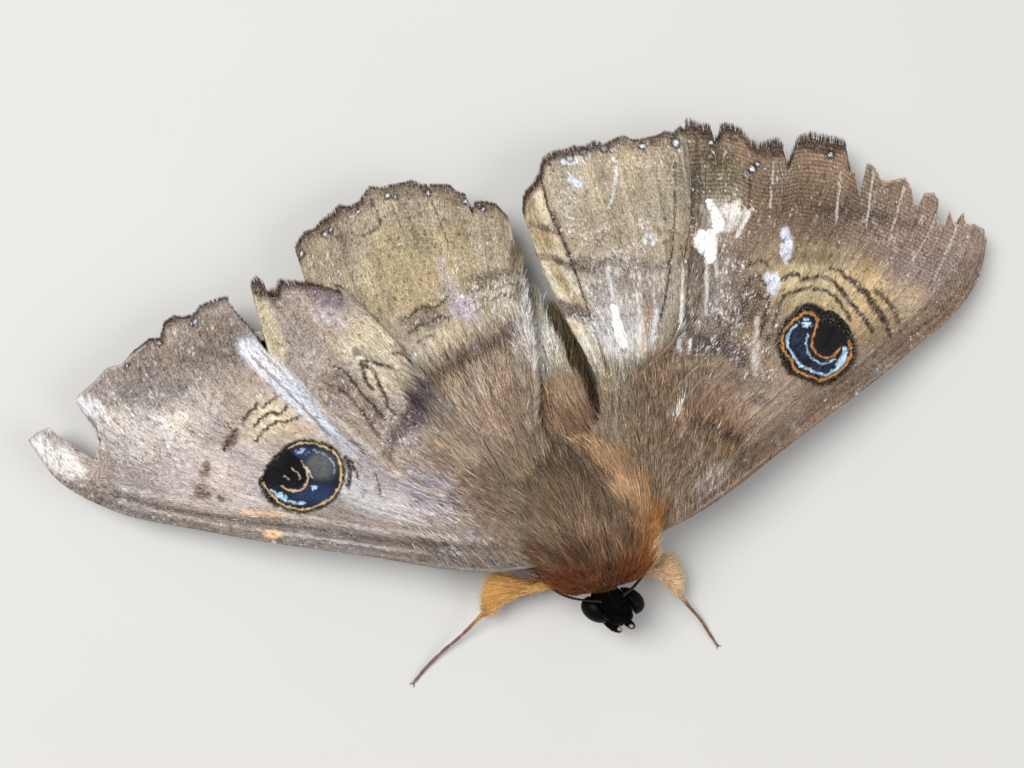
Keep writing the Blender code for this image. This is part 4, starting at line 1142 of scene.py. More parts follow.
def paint_wing(name, wing, q, lie, way, veins):
    """Colour and finish of a wing. lie is mm across, mm along and mm from the unworn margin."""
    across, along, edge = lie.T

    def scaled(wide, long, seed, shift=0.0):
        """Random field of specks or streaks this wide and long, in mm of the wing."""
        return noise(np.stack([across / wide + shift, along / long - shift], -1), 1.0, seed)

    def pair(size, seed):
        return np.stack([noise(q, size, seed), noise(q, size, seed + 1)], -1)

    wobble = way * (3.0 * (scaled(0.22, 6.0, 10) - 0.5))[:, None] + pair(3.0, 11) * 1.8 - 0.9
    grain = 0.65 * scaled(0.2, 1.0, 15) + 0.35 * noise(q, 1.7, 17)
    clumps = noise(q, 4.5, 16)
    paint = paint_marks(MARKS[name], q, linear(wing["ground"]), wobble, grain, clumps)
    paint = paint * (0.66 + 0.38 * scaled(0.5, 5.0, 32) + 0.28 * noise(q, 20.0, 34))[:, None]
    paint = paint * np.array(WARM_TINT) ** (2.4 * noise(q, 30.0, 33) - 1.2)[:, None]
    paint = paint * (1.0 + 0.22 * np.clip(veins, 0, 1) - 0.10 * (veins > 0.02))[:, None]
    pale = smooth(0.66, 0.82, 0.6 * scaled(0.25, 0.5, 35) + 0.4 * noise(q, 7.0, 36))
    paint = blend(paint, WORN_AND_GLINT_GREY, wing["wear"] * pale)
    dark = smooth(0.66, 0.82, 0.6 * scaled(0.22, 0.4, 37) + 0.4 * noise(q, 5.0, 38))
    paint = blend(paint, DARK_LINE, 0.45 * dark)
    wear = wing["wear"] + 0.35 * noise(q, 14.0, 41)
    for strength, *shape in WORN_PLACES.get(name, ()):
        wear = wear + strength * patch(q, *shape)
    specks = scaled(0.14, 0.19, 55, 0.35 * (noise(q, 9.0, 54) - 0.5))
    specks = smooth(1.09 - 0.18 * wear, 1.16, specks + 0.34 * noise(q, 11.0, 58) * (0.4 + wear))
    paint = blend(paint, WORN_WHITE, np.clip(0.4 + 0.6 * wear, 0.0, 0.95) * specks)
    holes = smooth(0.91, 1.0, scaled(0.16, 0.28, 56) + 0.12 * noise(q, 8.0, 57))
    paint = blend(paint, DARK_LINE, 0.7 * holes)
    ripple = wing["ripple"] * fading(0.4 * RIPPLE_REACH, RIPPLE_REACH, edge)
    ripple = ripple * (0.5 + 0.5 * noise(q, 18.0, 42)) * fading(0.28, 0.5, paint.mean(-1))
    gloss = np.zeros(len(q))
    if name in EYESPOTS:
        bright = 1.3 * noise(q, 1.7, 45) - 0.3
        paint = paint_marks(EYESPOTS[name], q, paint, pair(2.4, 43) * 2.2 - 1.1, bright, clumps)
        gloss = enclosed_by(q, EYE_FIELDS[name])
        wear = wear * (1.0 - gloss) + 0.12 * gloss * wing["wear"]
        ripple = ripple * (1.0 - gloss)
    for strength, outline in BARE.get(name, ()):
        bald = enclosed_by(q + 0.4 * wobble, outline)
        paint = blend(paint, BALD_WHITE, strength * bald * (0.6 + 0.8 * grain))
    for *dot, size in DOTS[name]:
        away = np.hypot(*(q - dot).T) + 1.8 * (noise(q, 1.8, 40) - 0.5)
        paint = blend(paint, BLACK, 0.8 * fading(size + 0.8, size + 3.4, away))
        paint = blend(paint, BLUE_WHITE, fading(0.6 * size, size, away))
    return paint, np.stack([gloss, np.clip(wear, 0.0, 1.0), ripple], -1)


def rim_faces(fine, coarse):
    """Triangles between an edge of the upper side and the coarser edge under it."""
    half = UNDER_STEP // 2
    faces = []
    for k in range(len(coarse) - 1):
        part = fine[k * UNDER_STEP:(k + 1) * UNDER_STEP + 1]
        for m in range(UNDER_STEP):
            faces.append((part[m], part[m + 1], coarse[k] if m < half else coarse[k + 1]))
        faces.append((coarse[k], part[half], coarse[k + 1]))
    return np.array(faces)


def make_wing(name, wing, look):
    """A wing sheet: a fine painted upper side, a coarser underside, joined round the rim."""
    side = wing["side"]
    places, rows, plan, ends = wing_grid(wing)
    shape = plan.shape[:2]
    height = wing_height(wing, places, rows, plan)
    top = np.stack([side * plan[..., 0], plan[..., 1], height], -1)

    def coarse(grid):
        return grid[::UNDER_STEP, ::UNDER_STEP].reshape(-1, grid.shape[-1])

    def both(upper, lower):
        return np.concatenate([upper.reshape(-1, upper.shape[-1]), lower])

    ids = np.arange(height.size).reshape(shape)
    under = ids[::UNDER_STEP, ::UNDER_STEP].shape
    under = height.size + np.arange(under[0] * under[1]).reshape(under)
    parts = (
        (grid_faces(ids), False), (grid_faces(under), True),
        (rim_faces(ids[0], under[0]), False), (rim_faces(ids[-1], under[-1]), True),
        (rim_faces(ids[:, 0], under[:, 0]), True), (rim_faces(ids[:, -1], under[:, -1]), False),
    )
    faces = [part if flip == (side > 0) else part[:, ::-1] for part, flip in parts]
    seen = to_photo(top)
    step = np.linalg.norm(np.diff(plan, axis=0), axis=-1)
    length = np.concatenate([np.zeros((1, shape[1])), np.cumsum(step, axis=0)])
    across = np.broadcast_to(places * wing["breadth"], shape)
    unworn = length[-1] / np.maximum(ends, 0.1)
    lie = np.stack([across, length, unworn - length], -1)
    way = unit(np.gradient(seen, axis=0))
    veins = vein_share(wing, places, rows, plan)
    paint, finish = paint_wing(name, wing, seen.reshape(-1, 2), lie.reshape(-1, 3),
                               way.reshape(-1, 2), veins.ravel())
    rim = fringe_length(wing, seen[-1])
    dark = fading(0.15, 0.7, length[-1] - length) * np.minimum(rim / 0.5, 1.0)
    paint = blend(paint, FRINGE_BROWN, 0.8 * dark.ravel())
    bare = fading(0.05, 0.3, length[-1] - length) * (rim < 0.3)
    paint = blend(paint, WORN_AND_GLINT_GREY, 0.7 * bare.ravel()).reshape(*shape, 3)
    grid = coarse(paint)
    below = 0.6 * grid.mean(0) + 0.4 * grid + 0.05
    flat = plan.reshape(-1, 2)
    lowest, size = flat.min(0), np.ptp(flat, axis=0).max()
    uv = (plan - lowest) / size
    make_piece(
        name + "_sheet", look, both(top, coarse(top) - (0.0, 0.0, SHEET_THICKNESS)),
        np.concatenate(faces), (name,), both(paint, below),
        dict(lie=both(lie, coarse(lie)), finish=both(finish, np.tile(UNDER_FINISH, (len(grid), 1)))),
        both(uv * 0.8, coarse(uv) * 0.18 + (0.81, 0.0)))
    return dict(top=top, plan=plan, seen=seen, paint=paint, lowest=lowest, size=size, side=side)


# Strands of the coat

def strands(name, look, root, aim, length, width, colours, uv, out=UP, rings=2, lift=0.2,
            curl=0.0, droop=0.6):
    """Closed tapered strands, each a bent three-sided blade from its root."""
    count, each = len(root), 3 * rings + 1
    aim = unit(aim)
    across = unit(np.cross(aim, out))
    out = unit(np.cross(across, aim))
    length, width, lift, curl = (
        np.broadcast_to(value, count)[:, None] for value in (length, width, lift, curl))
    points, tone, flat = (np.empty((count, each, size)) for size in (3, 3, 2))
    for k in range(each):
        ring, corner = divmod(k, 3)
        t = ring / rings
        u, v = STRAND_SECTION[corner] if ring < rings else (0.0, 0.0)
        taper = width * (1.0 - 0.75 * t**1.4) * (0.75 + 0.7 * t * (1 - t))
        rise = length * lift * t * (1.0 - droop * t) + taper * v
        aside = length * curl * t * t + taper * u
        points[:, k] = root + aim * length * t + out * rise + across * aside
        tone[:, k] = colours[0] * (1 - t) + colours[1] * t
        flat[:, k] = uv + (0.0012 * u, -0.0015 + 0.003 * t)
    faces = [(0, 2, 1)]
    last = each - 4
    for k in range(last):
        after = k + 1 if k % 3 < 2 else k - 2
        faces += [(k, after, after + 3), (k, after + 3, k + 3)]
    faces += [(last + c, last + (c + 1) % 3, each - 1) for c in range(3)]
    faces = np.array(faces)[:, ::-1] + each * np.arange(count)[:, None, None]
    make_piece(name, look, points.reshape(-1, 3), faces.reshape(-1, 3),
               paint=tone.reshape(-1, 3), uv=flat.reshape(-1, 2))


def lie_angle(x, y):
    """Direction in which hair lies at a place, in radians from the tail's direction."""
    table = np.asarray(LIE)
    d2 = (x[:, None] - table[:, 0]) ** 2 + (y[:, None] - table[:, 1]) ** 2 + 0.4
    weight = d2**-1.5
    return np.radians((weight * table[:, 2]).sum(1) / weight.sum(1))


def sheet_uv(sheet, plan):
    """Place on the map of a wing sheet for points of its plan."""
    return (plan - sheet["lowest"]) / sheet["size"] * UV_SHRINK


def varied(rng, colour, count, spread):
    """The colour with its brightness varied from strand to strand."""
    return np.asarray(colour) * rng.uniform(1 - spread, 1 + spread, (count, 1))


def contrast(tone, rng, low, more, high, less):
    """Tones with a share of the strands made brighter and another darker."""
    draw = rng.random((len(tone), 1))
    return np.where(draw < low, tone * more, np.where(draw > high, tone * less, tone))


def wing_hair(name, sheet, look, count, reach, length, rng):
    """Long flat hairs on the base of a wing, in the wing's own colours."""
    nr, nc = sheet["plan"].shape[:2]
    row = (rng.random(4 * count) ** 0.8 * 0.62 * nr).astype(int) + 2
    column = rng.integers(1, nc - 1, 4 * count)
    place = sheet["plan"][row, column]
    away = np.hypot(place[:, 0], place[:, 1] - WING_BASE_Y)
    keep = rng.random(len(row)) < fading(0.45 * reach, reach, away) * (0.15 + away / reach)
    row, column, away = (values[keep][:count] for values in (row, column, away))
    count = len(row)
    root = sheet["top"][row, column] - (0, 0, 0.03)
    near = fading(6.5, 11.5, np.hypot(root[:, 0], 0.75 * (root[:, 1] - WING_BASE_Y)))
    paint = blend(sheet["paint"][row, column], BASE_TAUPE, 0.7 * near)
    angle = lie_angle(root[:, 0], root[:, 1]) + rng.normal(0, 0.14, count)
    ahead = sheet["top"][np.minimum(row + 3, nr - 1), column] - root
    aim = np.stack([np.sin(angle), np.cos(angle), ahead[:, 2] / 0.45 * 0.4 + 0.02], 1)
    share = 1.0 - np.clip(away / reach, 0, 1)
    size = length * (0.55 + 0.6 * share) * rng.uniform(0.7, 1.2, count)
    paint = paint * contrast(rng.uniform(0.7, 1.95, (count, 1)), rng, 0.12, 1.5, 0.86, 0.5)
    strands(name, look, root, aim, size, rng.uniform(0.028, 0.05, count),
            (paint * 0.85, paint * 1.15), sheet_uv(sheet, sheet["plan"][row, column]), lift=0.12,
            curl=rng.normal(0, 0.12, count))


def fringe(name, wing, sheet, look, rng):
    """Fine dark scales along the torn margin, of uneven length along it."""
    nc = sheet["plan"].shape[1]
    column = rng.integers(1, nc - 1, int(FRINGE_DENSITY * nc))
    size = fringe_length(wing, sheet["seen"][-1, column])
    x, y = sheet["plan"][-1].T
    steep = np.abs(np.gradient(y) / np.gradient(x))
    keep = (size > 0.05) & (steep[column] < 6.0)
    column, size = column[keep], size[keep]
    count = len(column)
    root = sheet["top"][-1, column]
    out = unit(root - sheet["top"][-5, column])
    aim = out + rng.normal(0, 0.07, root.shape) * (1, 1, 0.6)
    uneven = 0.7 + 0.5 * noise(np.stack([column * 0.11, column * 0.0], -1), 1.0, 52)
    tone = varied(rng, linear(FRINGE_BROWN), count, 0.45)
    tone = np.where(rng.random((count, 1)) < 0.12, tone * 3.0, tone)
    uv = np.clip(sheet_uv(sheet, np.abs(root[:, :2])), 0.002, 0.998)
    slide = unit(np.stack([-out[:, 1], out[:, 0], out[:, 2] * 0], -1))
    root = root - out * 0.15 + slide * rng.uniform(-0.08, 0.08, (count, 1)) - (0, 0, 0.05)
    strands(name, look, root, aim,
            size * uneven * rng.uniform(0.75, 1.1, count) + 0.15,
            rng.uniform(0.016, 0.028, count), (tone, tone * 1.5), uv, lift=0.03,
            curl=rng.normal(0, 0.07, count))


def inner_hair(name, sheet, look, length, lean, rng):
    """Long soft hairs along the inner margin of a wing."""
    nr, nc = sheet["plan"].shape[:2]
    count = INNER_HAIRS
    row = (nr * (0.04 + 0.8 * rng.random(count))).astype(int)
    column = nc - 1 - rng.integers(0, max(2, nc // 14), count)
    root = sheet["top"][row, column] - (0, 0, 0.06)
    ahead = unit(sheet["top"][np.minimum(row + 6, nr - 1), column] - root)
    inward = np.stack([-ahead[:, 1], ahead[:, 0], np.zeros(count)], 1) * sheet["side"]
    turn = lean + rng.normal(0, 0.1, count)
    aim = ahead * np.cos(turn)[:, None] + inward * np.sin(turn)[:, None]
    aim[:, 2] -= 0.08
    tone = sheet["paint"][row, column] * rng.uniform(0.45, 1.4, (count, 1))
    strands(name, look, root, aim, length * rng.uniform(0.5, 1.1, count),
            rng.uniform(0.02, 0.04, count), (tone * 0.9, tone * 1.1),
            sheet_uv(sheet, sheet["plan"][row, column]), lift=0.08,
            curl=rng.normal(0, 0.12, count))


# Body

def body_point(stations, y, turn, grow=0.0):
    """Points and outward directions on the body's surface, grown outwards by a depth."""
    half_width, half_height, middle = body_sizes(stations, y)
    c, s = np.cos(turn), np.sin(turn)
    x = (half_width + grow) * np.sign(c) * np.abs(c) ** (2 / BODY_POWER)
    z = middle + (half_height + grow) * np.sign(s) * np.abs(s) ** (2 / BODY_POWER)
    out = unit(np.stack([c * half_height, np.zeros_like(c), s * half_width], -1))
    return np.stack([x, np.broadcast_to(y, x.shape), z], -1), out


def coat_colour(points):
    """Colour of the coat at places on the body, in linear light."""
    x, y, z = points.T
    xy = points[:, :2]
    middle = STREAK_X + STREAK_SLOPE * y
    off = x - middle + 0.8 * noise(xy, 1.2, 64) - 0.4
    streak = fading(0.8, 2.7 - 0.12 * y, np.abs(off - 0.3))
    within = smooth(-4.0, -2.2, y) * fading(8.0, 11.0, y)
    shade = np.exp(-(((off + 2.9) / 0.5) ** 2))
    beside = smooth(middle, middle + 2.1, x) * smooth(-1.0, 1.5, y)
    collar = fading(-3.3, 0.4, y + 1.6 * noise(xy, 1.3, 62))
    rear = smooth(10.5, 13.5, y + 1.2 * noise(xy, 1.1, 65))
    layers = (
        (COAT_TAUPE, 0.8 * smooth(0.4, 0.8, noise(xy, 1.7, 61))),
        (COAT_TAN, 0.6 * smooth(3.0, 8.0, y + 3.0 * noise(xy, 1.4, 67))),
        (COAT_ORANGE, 0.9 * streak * within),
        (DARK_LINE, 0.45 * shade * within),
        (COAT_TAN, 0.8 * beside * smooth(0.25, 0.6, noise(xy, 1.5, 66))),
        # Tan over the thorax's side where x is below -2: a painted highlight on the side that slopes from
        # the light
        (COAT_TAN, 0.95 * fading(-4.6, -2.0, x) * (y < 9.0)),
        (COLLAR_BROWN, 0.95 * collar * (1.0 - 0.5 * streak)),
        (COLLAR_ORANGE, 0.7 * smooth(1.0, 4.2, x) * fading(-2.2, 0.0, y)),
        (COLLAR_ORANGE, 0.6 * fading(4.6, 6.8, z) * fading(4.0, 9.0, y)),
        (ABDOMEN_GREY, rear),
        (OLIVE, 0.5 * rear * smooth(0.45, 0.8, noise(xy, 1.3, 63))),
        (HEAD_BLACK, fading(-4.35, -4.05, y)),
    )
    paint = linear(COAT_BROWN)
    for colour, mask in layers:
        paint = blend(paint, colour, mask)
    return paint


def make_skin(look):
    """One skin over head, thorax and abdomen, under the coat."""
    stations = HEAD + NECK + THORAX[1:] + ABDOMEN
    y = spline(stations, np.linspace(0.0, 1.0, SKIN_STEPS))[:, 0]
    y = np.unique(np.clip(y, stations[0][0], stations[-1][0]))
    grid_y, grid_turn = np.meshgrid(y, circle(SKIN_TURNS), indexing="ij")
    rings, _ = body_point(stations, grid_y, grid_turn, -SKIN_DEPTH)
    rings[..., 0] += head_shift(grid_y)
    points, faces = closed_rings(rings, [rings[0].mean(0), rings[-1].mean(0)])
    uv = np.stack([grid_turn / TURN, (grid_y - y[0]) / np.ptp(y)], -1).reshape(-1, 2)
    # The skin takes the coat's colours darkened to 0.6: painted shade inside the coat
    make_piece("body_skin", look, points, faces[:, ::-1],
               ("thorax", "abdomen", "head"), coat_colour(points) * 0.6,
               uv=np.concatenate([uv, [(0.5, 0.0), (0.5, 1.0)]]))


def body_uv(y, turn):
    low, high = HEAD[0][0], ABDOMEN[-1][0]
    return np.stack([turn % TURN / TURN, (y - low) / (high - low)], -1) * UV_SHRINK


def coat_piece(name, look, rng, stations, count, y, turn, length, width, lift, lean=0.0, hug=1.0,
               start=0.0, way=1.0, keep=None, colours=None, slot="brown_coat", backward=1.0,
               rings=3, droop=0.6):
    """Strands rooted on the body, lying along it in the hair's direction.

    A range is drawn from for each strand, and a function is given its y and turn. The part hug of
    a strand's climb above the chord of the body under it is taken off.
    """
    y = rng.uniform(*y, count)
    turn = np.radians(start + way * rng.uniform(*turn, count))
    if keep is not None:
        kept = keep(y, turn)
        y, turn = y[kept], turn[kept]

    def drawn(rule):
        if callable(rule):
            return rule(y, turn)
        return rng.uniform(*rule, len(y)) if isinstance(rule, tuple) else rule

    colours, length, width, lift, lean, hug = (
        drawn(rule) for rule in (colours, length, width, lift, lean, hug))
    root, out = body_point(stations, y, turn, -SKIN_DEPTH)
    behind, ahead, halfway = (
        body_point(stations, y + shift, turn, -SKIN_DEPTH)[0] for shift in (-0.2, 0.2, 0.5 * length))
    follow = unit(ahead - behind)
    follow[:, 2] -= hug * np.maximum(follow[:, 2] - unit(halfway - root)[:, 2], 0.0)
    follow = unit(follow)
    root[:, 0] += head_shift(y)
    angle = lie_angle(root[:, 0], root[:, 1]) + lean
    angle = angle + 0.5 * (noise(root[:, :2], 0.8, 71) - 0.5) + rng.normal(0, 0.08, len(y))
    sideways = (1.0, 0.0, 0.0) - out * out[:, :1]
    aim = follow * (backward * np.cos(angle))[:, None] + sideways * np.sin(angle)[:, None]
    out = unit(out - follow * (out * follow).sum(1, keepdims=True))
    base = coat_colour(root) if colours is None else colours
    side = root[:, 0] * np.cos(angle) - root[:, 1] * np.sin(angle)
    locks = noise(np.stack([side / 0.32, root[:, 1] / 1.6], -1), 1.0, 72)
    tone = varied(rng, base * (0.45 + 1.1 * locks[:, None]), len(y), 0.25)
    tone = contrast(tone, rng, 0.10, 1.7, 0.85, 0.45)
    strands(name, look, root, aim, length, width, (tone * 0.6, tone * 1.25),
            body_uv(y, turn), out, rings, lift, rng.normal(0, 0.1, len(y)), droop)


def make_coat(coat, dark, rng):
    """The hair of the body in pieces: thorax, shoulders, collar, abdomen and head."""
    def piece(name, *rest, look=coat, **more):
        coat_piece("coat_" + name, look, rng, *rest, **more)

    def tuft_colour(y, turn):
        return blend(linear(COLLAR_ORANGE), TUFT_CREAM, rng.random(len(y)) ** 0.7)

    def waist_colour(y, turn):
        root, _ = body_point(ABDOMEN, y, turn)
        taupe = smooth(0.2, 0.6, noise(root[:, :2], 1.7, 61))
        return 1.35 * blend(linear(COAT_BROWN), COAT_TAUPE, taupe)

    # Hair at the abdomen's side in dark brown, painted shade of the slot under the hindwing, turned olive
    # towards the tail at random
    def flank_shade_colour(y, turn):
        return blend(linear(FLANK_SHADE_BROWN), OLIVE, 0.6 * smooth(12.0, 17.0, y) * rng.random(len(y)))

    def head_colour(y, turn):
        return linear(HEAD_BLACK) * rng.uniform(0.5, 1.9, (len(y), 1))

    def off_eyes(y, turn):
        root, _ = body_point(HEAD, y, turn)
        off = np.hypot(root[:, 1] - EYE_CENTRE[1], root[:, 2] - EYE_CENTRE[2])
        return (off > EYE_RADIUS * 0.95) | (np.abs(np.cos(turn)) < 0.75)

    def shoulder_hug(y, turn):
        return 1.0 - 0.8 * smooth(0.75, 1.3, np.abs(math.pi / 2 - turn))

    # Bands of the thorax: ranges of y and length, and hug
    bands = (
        ((-3.9, -2.2), (1.56, 2.76), 0.7),
        ((-2.2, 0.6), (2.21, 3.91), 0.85),
        ((0.6, 3.5), (2.6, 4.6), 1.0),
        ((3.5, 7.9), (2.47, 4.37), 1.0),
    )
    # Each piece: stations, count, then ranges of y, turn in degrees, length, width, lift and lean
    for k, (y, length, hug) in enumerate(bands):
        piece(f"thorax_{k + 1}", THORAX, THORAX_STRANDS, y, (-10, 190), length, (0.035, 0.07),
              (0.10, 0.34), hug=hug)
    piece("thorax_under", THORAX, 2000, (-3.85, 7.8), (190, 350), (0.9, 1.6), (0.04, 0.07), (0.08, 0.2))
    for word, side, low, high in (("left", 1, 0.1, 0.9), ("right", -1, -0.8, -0.05)):
        def shoulder_lean(y, turn, low=low, high=high):
            return rng.uniform(low, high, len(y)) * (1.0 - 0.45 * smooth(-1.0, 7.0, y))

        piece(f"shoulder_{word}", THORAX, 4400, (-3.0, 7.8), (30, 84), (3.0, 6.2), (0.03, 0.055),
              (0.02, 0.16), shoulder_lean, shoulder_hug, start=90, way=-side, droop=0.95)
    piece("tuft_left", THORAX, 1300, (-3.3, -1.6), (2, 44), (2.0, 3.3), (0.03, 0.05), (0.15, 0.4),
          (0.55, 0.95), colours=tuft_colour)
    piece("collar", THORAX, 2600, (-3.9, -3.3), (-20, 200), (0.6, 1.3), (0.022, 0.04), (0.5, 1.3),
          rings=2)
    piece("waist", ABDOMEN, 3400, (8.1, 12.0), (-5, 185), (2.34, 4.485), (0.035, 0.065), (0.1, 0.3),
          colours=waist_colour)
    # Flank pieces: hair of the abdomen's side, darkened as painted shade where the slot between abdomen and
    # hindwing lies in shadow
    piece("flank_long_shade", ABDOMEN, 1500, (8.4, 19.0), (-40, 35), (2.2, 3.5), (0.035, 0.06), (0.5, 1.0),
          (0.2, 0.8), 0.0, colours=flank_shade_colour)
    piece("abdomen", ABDOMEN, 4600, (8.2, 21.9), (0, 360), (1.05, 1.725), (0.035, 0.065), (0.06, 0.2))
    piece("tail", ABDOMEN, 2400, (16.0, 22.0), (0, 360), (1.38, 2.53), (0.03, 0.055), (0.05, 0.2),
          lambda y, turn: 0.75 * np.cos(turn))
    # Hair of the abdomen's side at 0.45 of the coat's brown: painted shade
    piece("flank_shade", ABDOMEN, 1700, (10.0, 19.0), (-25, 40), (1.56, 2.99), (0.025, 0.045), (0.1, 0.3),
          (0.35, 0.8), colours=linear(COAT_BROWN) * 0.45)
    piece("head", HEAD, 4600, (-7.35, -4.2), (0, 360), (0.3, 0.62), (0.035, 0.06), (0.2, 0.6),
          look=dark, keep=off_eyes, colours=head_colour, slot="dark_scales", backward=-1.0, rings=2)


def make_eye(word, side, look):
    """A compound eye, rounder than a ball cap, set against the head."""
    lift = np.linspace(0.0, 0.5 * math.pi, EYE_STEPS)[:-1]
    lift, turn = np.meshgrid(lift, circle(EYE_TURNS), indexing="ij")
    radius = EYE_RADIUS * np.cos(lift)
    x, y, z = EYE_CENTRE
    rings = np.stack([x - EYE_INSET + (EYE_BULGE + EYE_INSET) * np.sin(lift),
                      y + radius * np.cos(turn), z + radius * np.sin(turn)], -1)
    points, faces = closed_rings(rings, [(x - EYE_INSET, y, z), (x + EYE_BULGE, y, z)])
    points[:, 0] = side * points[:, 0] + head_shift(points[:, 1])
    make_piece(f"eye_{word}_facets", look, points, faces[:, ::side], (f"eye_{word}",))


# Limbs

def tube(stations, side, mesh, swell, turned=False):
    """Points, faces, shares and line of a limb. swell gives a factor on its radius along it."""
    steps, sides = mesh
    places = np.linspace(0.0, 1.0, steps)
    table = spline(stations, places)
    path, radius = table[:, :3], table[:, 3] * swell(places)
    along = unit(np.gradient(path, axis=0))
    across = unit(np.cross(along, UP))
    up = np.cross(across, along)
    turn = circle(sides)[None, :, None]
    rings = path[:, None] + radius[:, None, None] * (
        np.cos(turn) * across[:, None] + np.sin(turn) * up[:, None])
    rings[..., 2] = np.maximum(rings[..., 2], 0.0)
    rings[..., 0] *= side
    if turned:
        rings[..., 0] += head_shift(rings[..., 1])
    points, faces = closed_rings(rings, [rings[0].mean(0), rings[-1].mean(0)])
    share = np.concatenate([np.repeat(places, sides), [0.0, 1.0]])
    return points, faces[:, ::-side], share, (places, path, along, radius)


def leg_swell(places, joints, thin=0.0):
    """Radius factor that narrows a limb at its joints, and by a share along its outer half."""
    value = 1.0
    for joint in joints:
        value = value - 0.3 * np.exp(-(((places - joint) / 0.009) ** 2))
    return value * (1.0 - thin * smooth(0.45, 0.65, places))


def limb_uv(share, around):
    return np.stack([0.1 + 0.8 * share, 0.1 + 0.8 * around], -1)


def limb_scales(name, line, side, look, count, span, length, shades, rng, lift=0.25,
                turned=False):
    """Short flat scales that clothe a limb and point to its tip.

    shades are the colours at root and tip, and the shares of the limb between which they change.
    """
    places, path, along, radius = line
    share = rng.uniform(*span, count)
    centre, ahead = (
        np.stack([np.interp(share, places, run[:, k]) for k in range(3)], 1) for run in (path, along))
    ahead = unit(ahead)
    size = np.interp(share, places, radius)
    turn = rng.uniform(0.0, TURN, count)
    across = unit(np.cross(ahead, UP))
    up = np.cross(across, ahead)
    out = across * np.cos(turn)[:, None] + up * np.sin(turn)[:, None]
    root = centre + out * np.maximum(size - 0.03, 0.6 * size)[:, None]
    for vectors in (root, ahead, out):
        vectors[:, 0] *= side
    if turned:
        root[:, 0] += head_shift(root[:, 1])
    high = root[:, 2] > 0.1
    first, second, low, full = shades
    tone = varied(rng, blend(linear(first), second, smooth(low, full, share)), count, 0.3)[high]
    length = length * rng.uniform(0.7, 1.2, count)
    uv = limb_uv(share, turn / TURN)
    strands(name, look, root[high], ahead[high], length[high], SCALE_WIDTH,
            (tone * 0.85, tone * 1.15), uv[high], out[high], lift=lift)


def brush(name, stations, tuft, side, look, rng):
    """Broad brush of golden scales along a foreleg, spread flat like a paddle."""
    count = BRUSH_SCALES
    share = rng.random(count)
    place = tuft["start"] + (tuft["end"] - tuft["start"]) * share
    centre = spline(stations, place)[:, :3]
    ahead = unit(spline(stations, place + 0.02)[:, :3] - centre)
    sideways = np.stack([-ahead[:, 1], ahead[:, 0], np.zeros(count)], 1)
    length = np.interp(share, (0, 1), tuft["length"]) * rng.uniform(0.75, 1.05, count)
    spread = np.interp(share, (0, 1), tuft["spread"]) + rng.normal(0, 0.28, count)
    aim = ahead * length[:, None] + sideways * spread[:, None]
    aim[:, 2] += rng.normal(0, 0.12, count)
    reach = np.linalg.norm(aim, axis=1)
    root = centre + rng.normal(0, 0.16, (count, 3)) * (1, 1, 0.8)
    root[:, 0] *= side
    aim[:, 0] *= side
    tone = varied(rng, linear(tuft["colour"]), count, 0.28)
    uv = limb_uv(place, rng.random(count) * 0.2)
    strands(name, look, root, aim, reach, rng.uniform(0.035, 0.06, count),
            (tone * 0.8, tone * 1.15), uv, rings=3, lift=rng.normal(0.03, 0.03, count),
            curl=rng.normal(0.05, 0.06, count))


def claws(name, stations, side, look):
    """Pair of small claws at a foot."""
    tip = np.array(stations[-1][:3])
    ahead = unit(tip - np.array(stations[-2][:3]))
    across = np.outer((1.0, -1.0), unit(np.cross(ahead, UP)))
    root = tip - ahead * 0.1 + across * 0.05
    aim = ahead + across * 0.7
    root[:, 2] = np.maximum(root[:, 2], 0.1)
    aim[:, 2] = -0.05
    for vectors in (root, aim):
        vectors[:, 0] *= side
    tone = linear(LEG_BROWN) * 0.5
    strands(name, look, root, aim, 0.42, 0.05, (tone, tone),
            np.array([(0.95, 0.4), (0.95, 0.6)]), rings=3)


def make_legs(looks, rng):
    """Legs with narrowed joints, scales and claws, and the brushes of the forelegs."""
    for word, side in SIDES:
        fore, tuft = FORELEGS[word]
        for kind, stations in (("fore", fore), ("mid", MIDLEG), ("hind", HINDLEG)):
            name = f"leg_{kind}_{word}"
            own = tuft["colour"] if kind == "fore" else COAT_TAUPE
            points, faces, share, line = tube(
                stations, side, LEG_MESH, lambda places: leg_swell(places, TARSI, LEG_THINNING))
            paint = blend(linear(own), TARSUS_BROWN, 2.0 * share)
            paint = paint * (0.8 + 0.4 * noise(points[:, :2], 0.3, 81))[:, None]
            make_piece(name + "_limb", looks["leg"], points, faces, (name,), paint)
            limb_scales(name + "_scales", line, side, looks["coat"], LEG_SCALES,
                        (0.02, 0.97), 0.42, (own, TARSUS_BROWN, 0.45, 0.62), rng)
            claws(name + "_claws", stations, side, looks["leg"])
        brush(f"leg_fore_{word}_brush", fore, tuft, side, looks["coat"], rng)


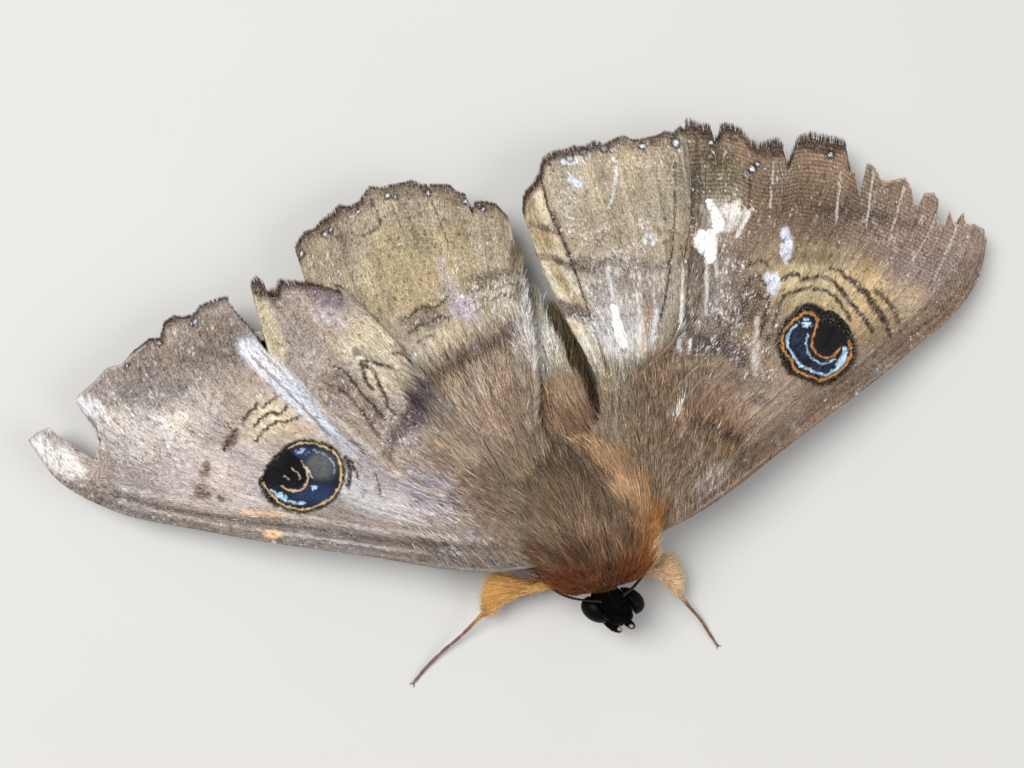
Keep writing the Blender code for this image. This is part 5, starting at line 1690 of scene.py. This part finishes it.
def make_head_parts(looks, rng):
    """Antennae with their rings, and scaled palps with pale tips."""
    shades = (HEAD_BLACK, PALP_TIP, 0.90, 0.96)

    def ringed(places):
        return 1.0 + 0.10 * np.cos(places * ANTENNA_RINGS * TURN)

    for word, side in SIDES:
        points, faces, _, _ = tube(ANTENNA, side, ANTENNA_MESH, ringed, True)
        paint = linear(LEG_BROWN) * (0.05 + 0.12 * noise(points[:, 1:], 0.4, 91))[:, None]
        make_piece(f"antenna_{word}_thread", looks["leg"], points, faces,
                   (f"antenna_{word}",), paint)
        points, faces, share, line = tube(
            PALP, side, PALP_MESH, lambda places: leg_swell(places, PALP_JOINTS), True)
        paint = blend(linear(HEAD_BLACK), PALP_TIP, smooth(*shades[2:], share))
        make_piece(f"palp_{word}_core", looks["leg"], points, faces,
                   (f"palp_{word}",), paint)
        limb_scales(f"palp_{word}_scales", line, side, looks["dark"], PALP_SCALES,
                    (0.0, 1.0), 0.36, shades, rng, 0.3, True)


# Stage

def make_camera():
    data = bpy.data.cameras.new("camera")
    right, up, back = view_axes()
    place, focal = view_place()
    data.lens = focal * SENSOR / FRAME_SIZE[0]
    data.sensor_width = SENSOR
    data.clip_start = NEAREST
    data.clip_end = FARTHEST
    camera = bpy.data.objects.new("camera", data)
    turn = Matrix((right, up, back)).transposed().to_4x4()
    camera.matrix_world = Matrix.Translation(Vector(to_row(place))) @ turn
    bpy.context.scene.collection.objects.link(camera)
    bpy.context.scene.camera = camera


def area_light(name, place, size, power, colour):
    data = bpy.data.lights.new(name, "AREA")
    data.shape = "DISK"
    data.size = size
    data.energy = power
    data.color = colour
    light = bpy.data.objects.new(name, data)
    light.location = place
    light.rotation_euler = (-Vector(place)).to_track_quat("-Z", "Y").to_euler()
    bpy.context.scene.collection.objects.link(light)


def make_stage():
    """Plain pale floor, a large key light, a fill and an even surround."""
    mesh = bpy.data.meshes.new("floor")
    corners = [(x * FLOOR_HALF, y * FLOOR_HALF, 0) for x, y in ((-1, -1), (1, -1), (1, 1), (-1, 1))]
    mesh.from_pydata(corners, [], [(0, 1, 2, 3)])
    floor = bpy.data.objects.new("floor", mesh)
    mesh.materials.append(floor_material())
    bpy.context.scene.collection.objects.link(floor)
    area_light("key", (-0.35, 0.25, 0.6), 0.45, 6.0, (1.0, 0.985, 0.96))
    area_light("fill", (0.5, -0.3, 0.45), 0.6, 2.0, (1.0, 0.99, 0.98))
    world = bpy.data.worlds.new("surround")
    world.use_nodes = True
    sky = world.node_tree.nodes["Background"].inputs
    sky["Color"].default_value = (0.97, 0.98, 1.0, 1)
    sky["Strength"].default_value = 0.42
    bpy.context.scene.world = world
    bpy.context.scene.view_settings.view_transform = "Standard"


def main():
    rng = np.random.default_rng(7)
    scales = scale_material()
    looks = dict(coat=coat_material("coat_hair"), dark=coat_material("dark_scales", 0.6, 0.05),
                 leg=coat_material("leg_cuticle", 0.5, 0.2))
    coat = looks["coat"]
    for name, wing in WINGS.items():
        sheet = make_wing(name, wing, scales)
        wing_hair(f"hair_{name}", sheet, coat, BASE_HAIRS[name[:4]], *wing["hair"], rng)
        inner_hair(f"inner_{name}", sheet, coat, *wing["rim_hair"], rng)
        fringe(f"fringe_{name}", wing, sheet, coat, rng)
    make_skin(coat)
    make_coat(coat, looks["dark"], rng)
    eye = eye_material()
    for word, side in SIDES:
        make_eye(word, side, eye)
    make_head_parts(looks, rng)
    make_legs(looks, rng)
    make_stage()
    make_camera()


main()
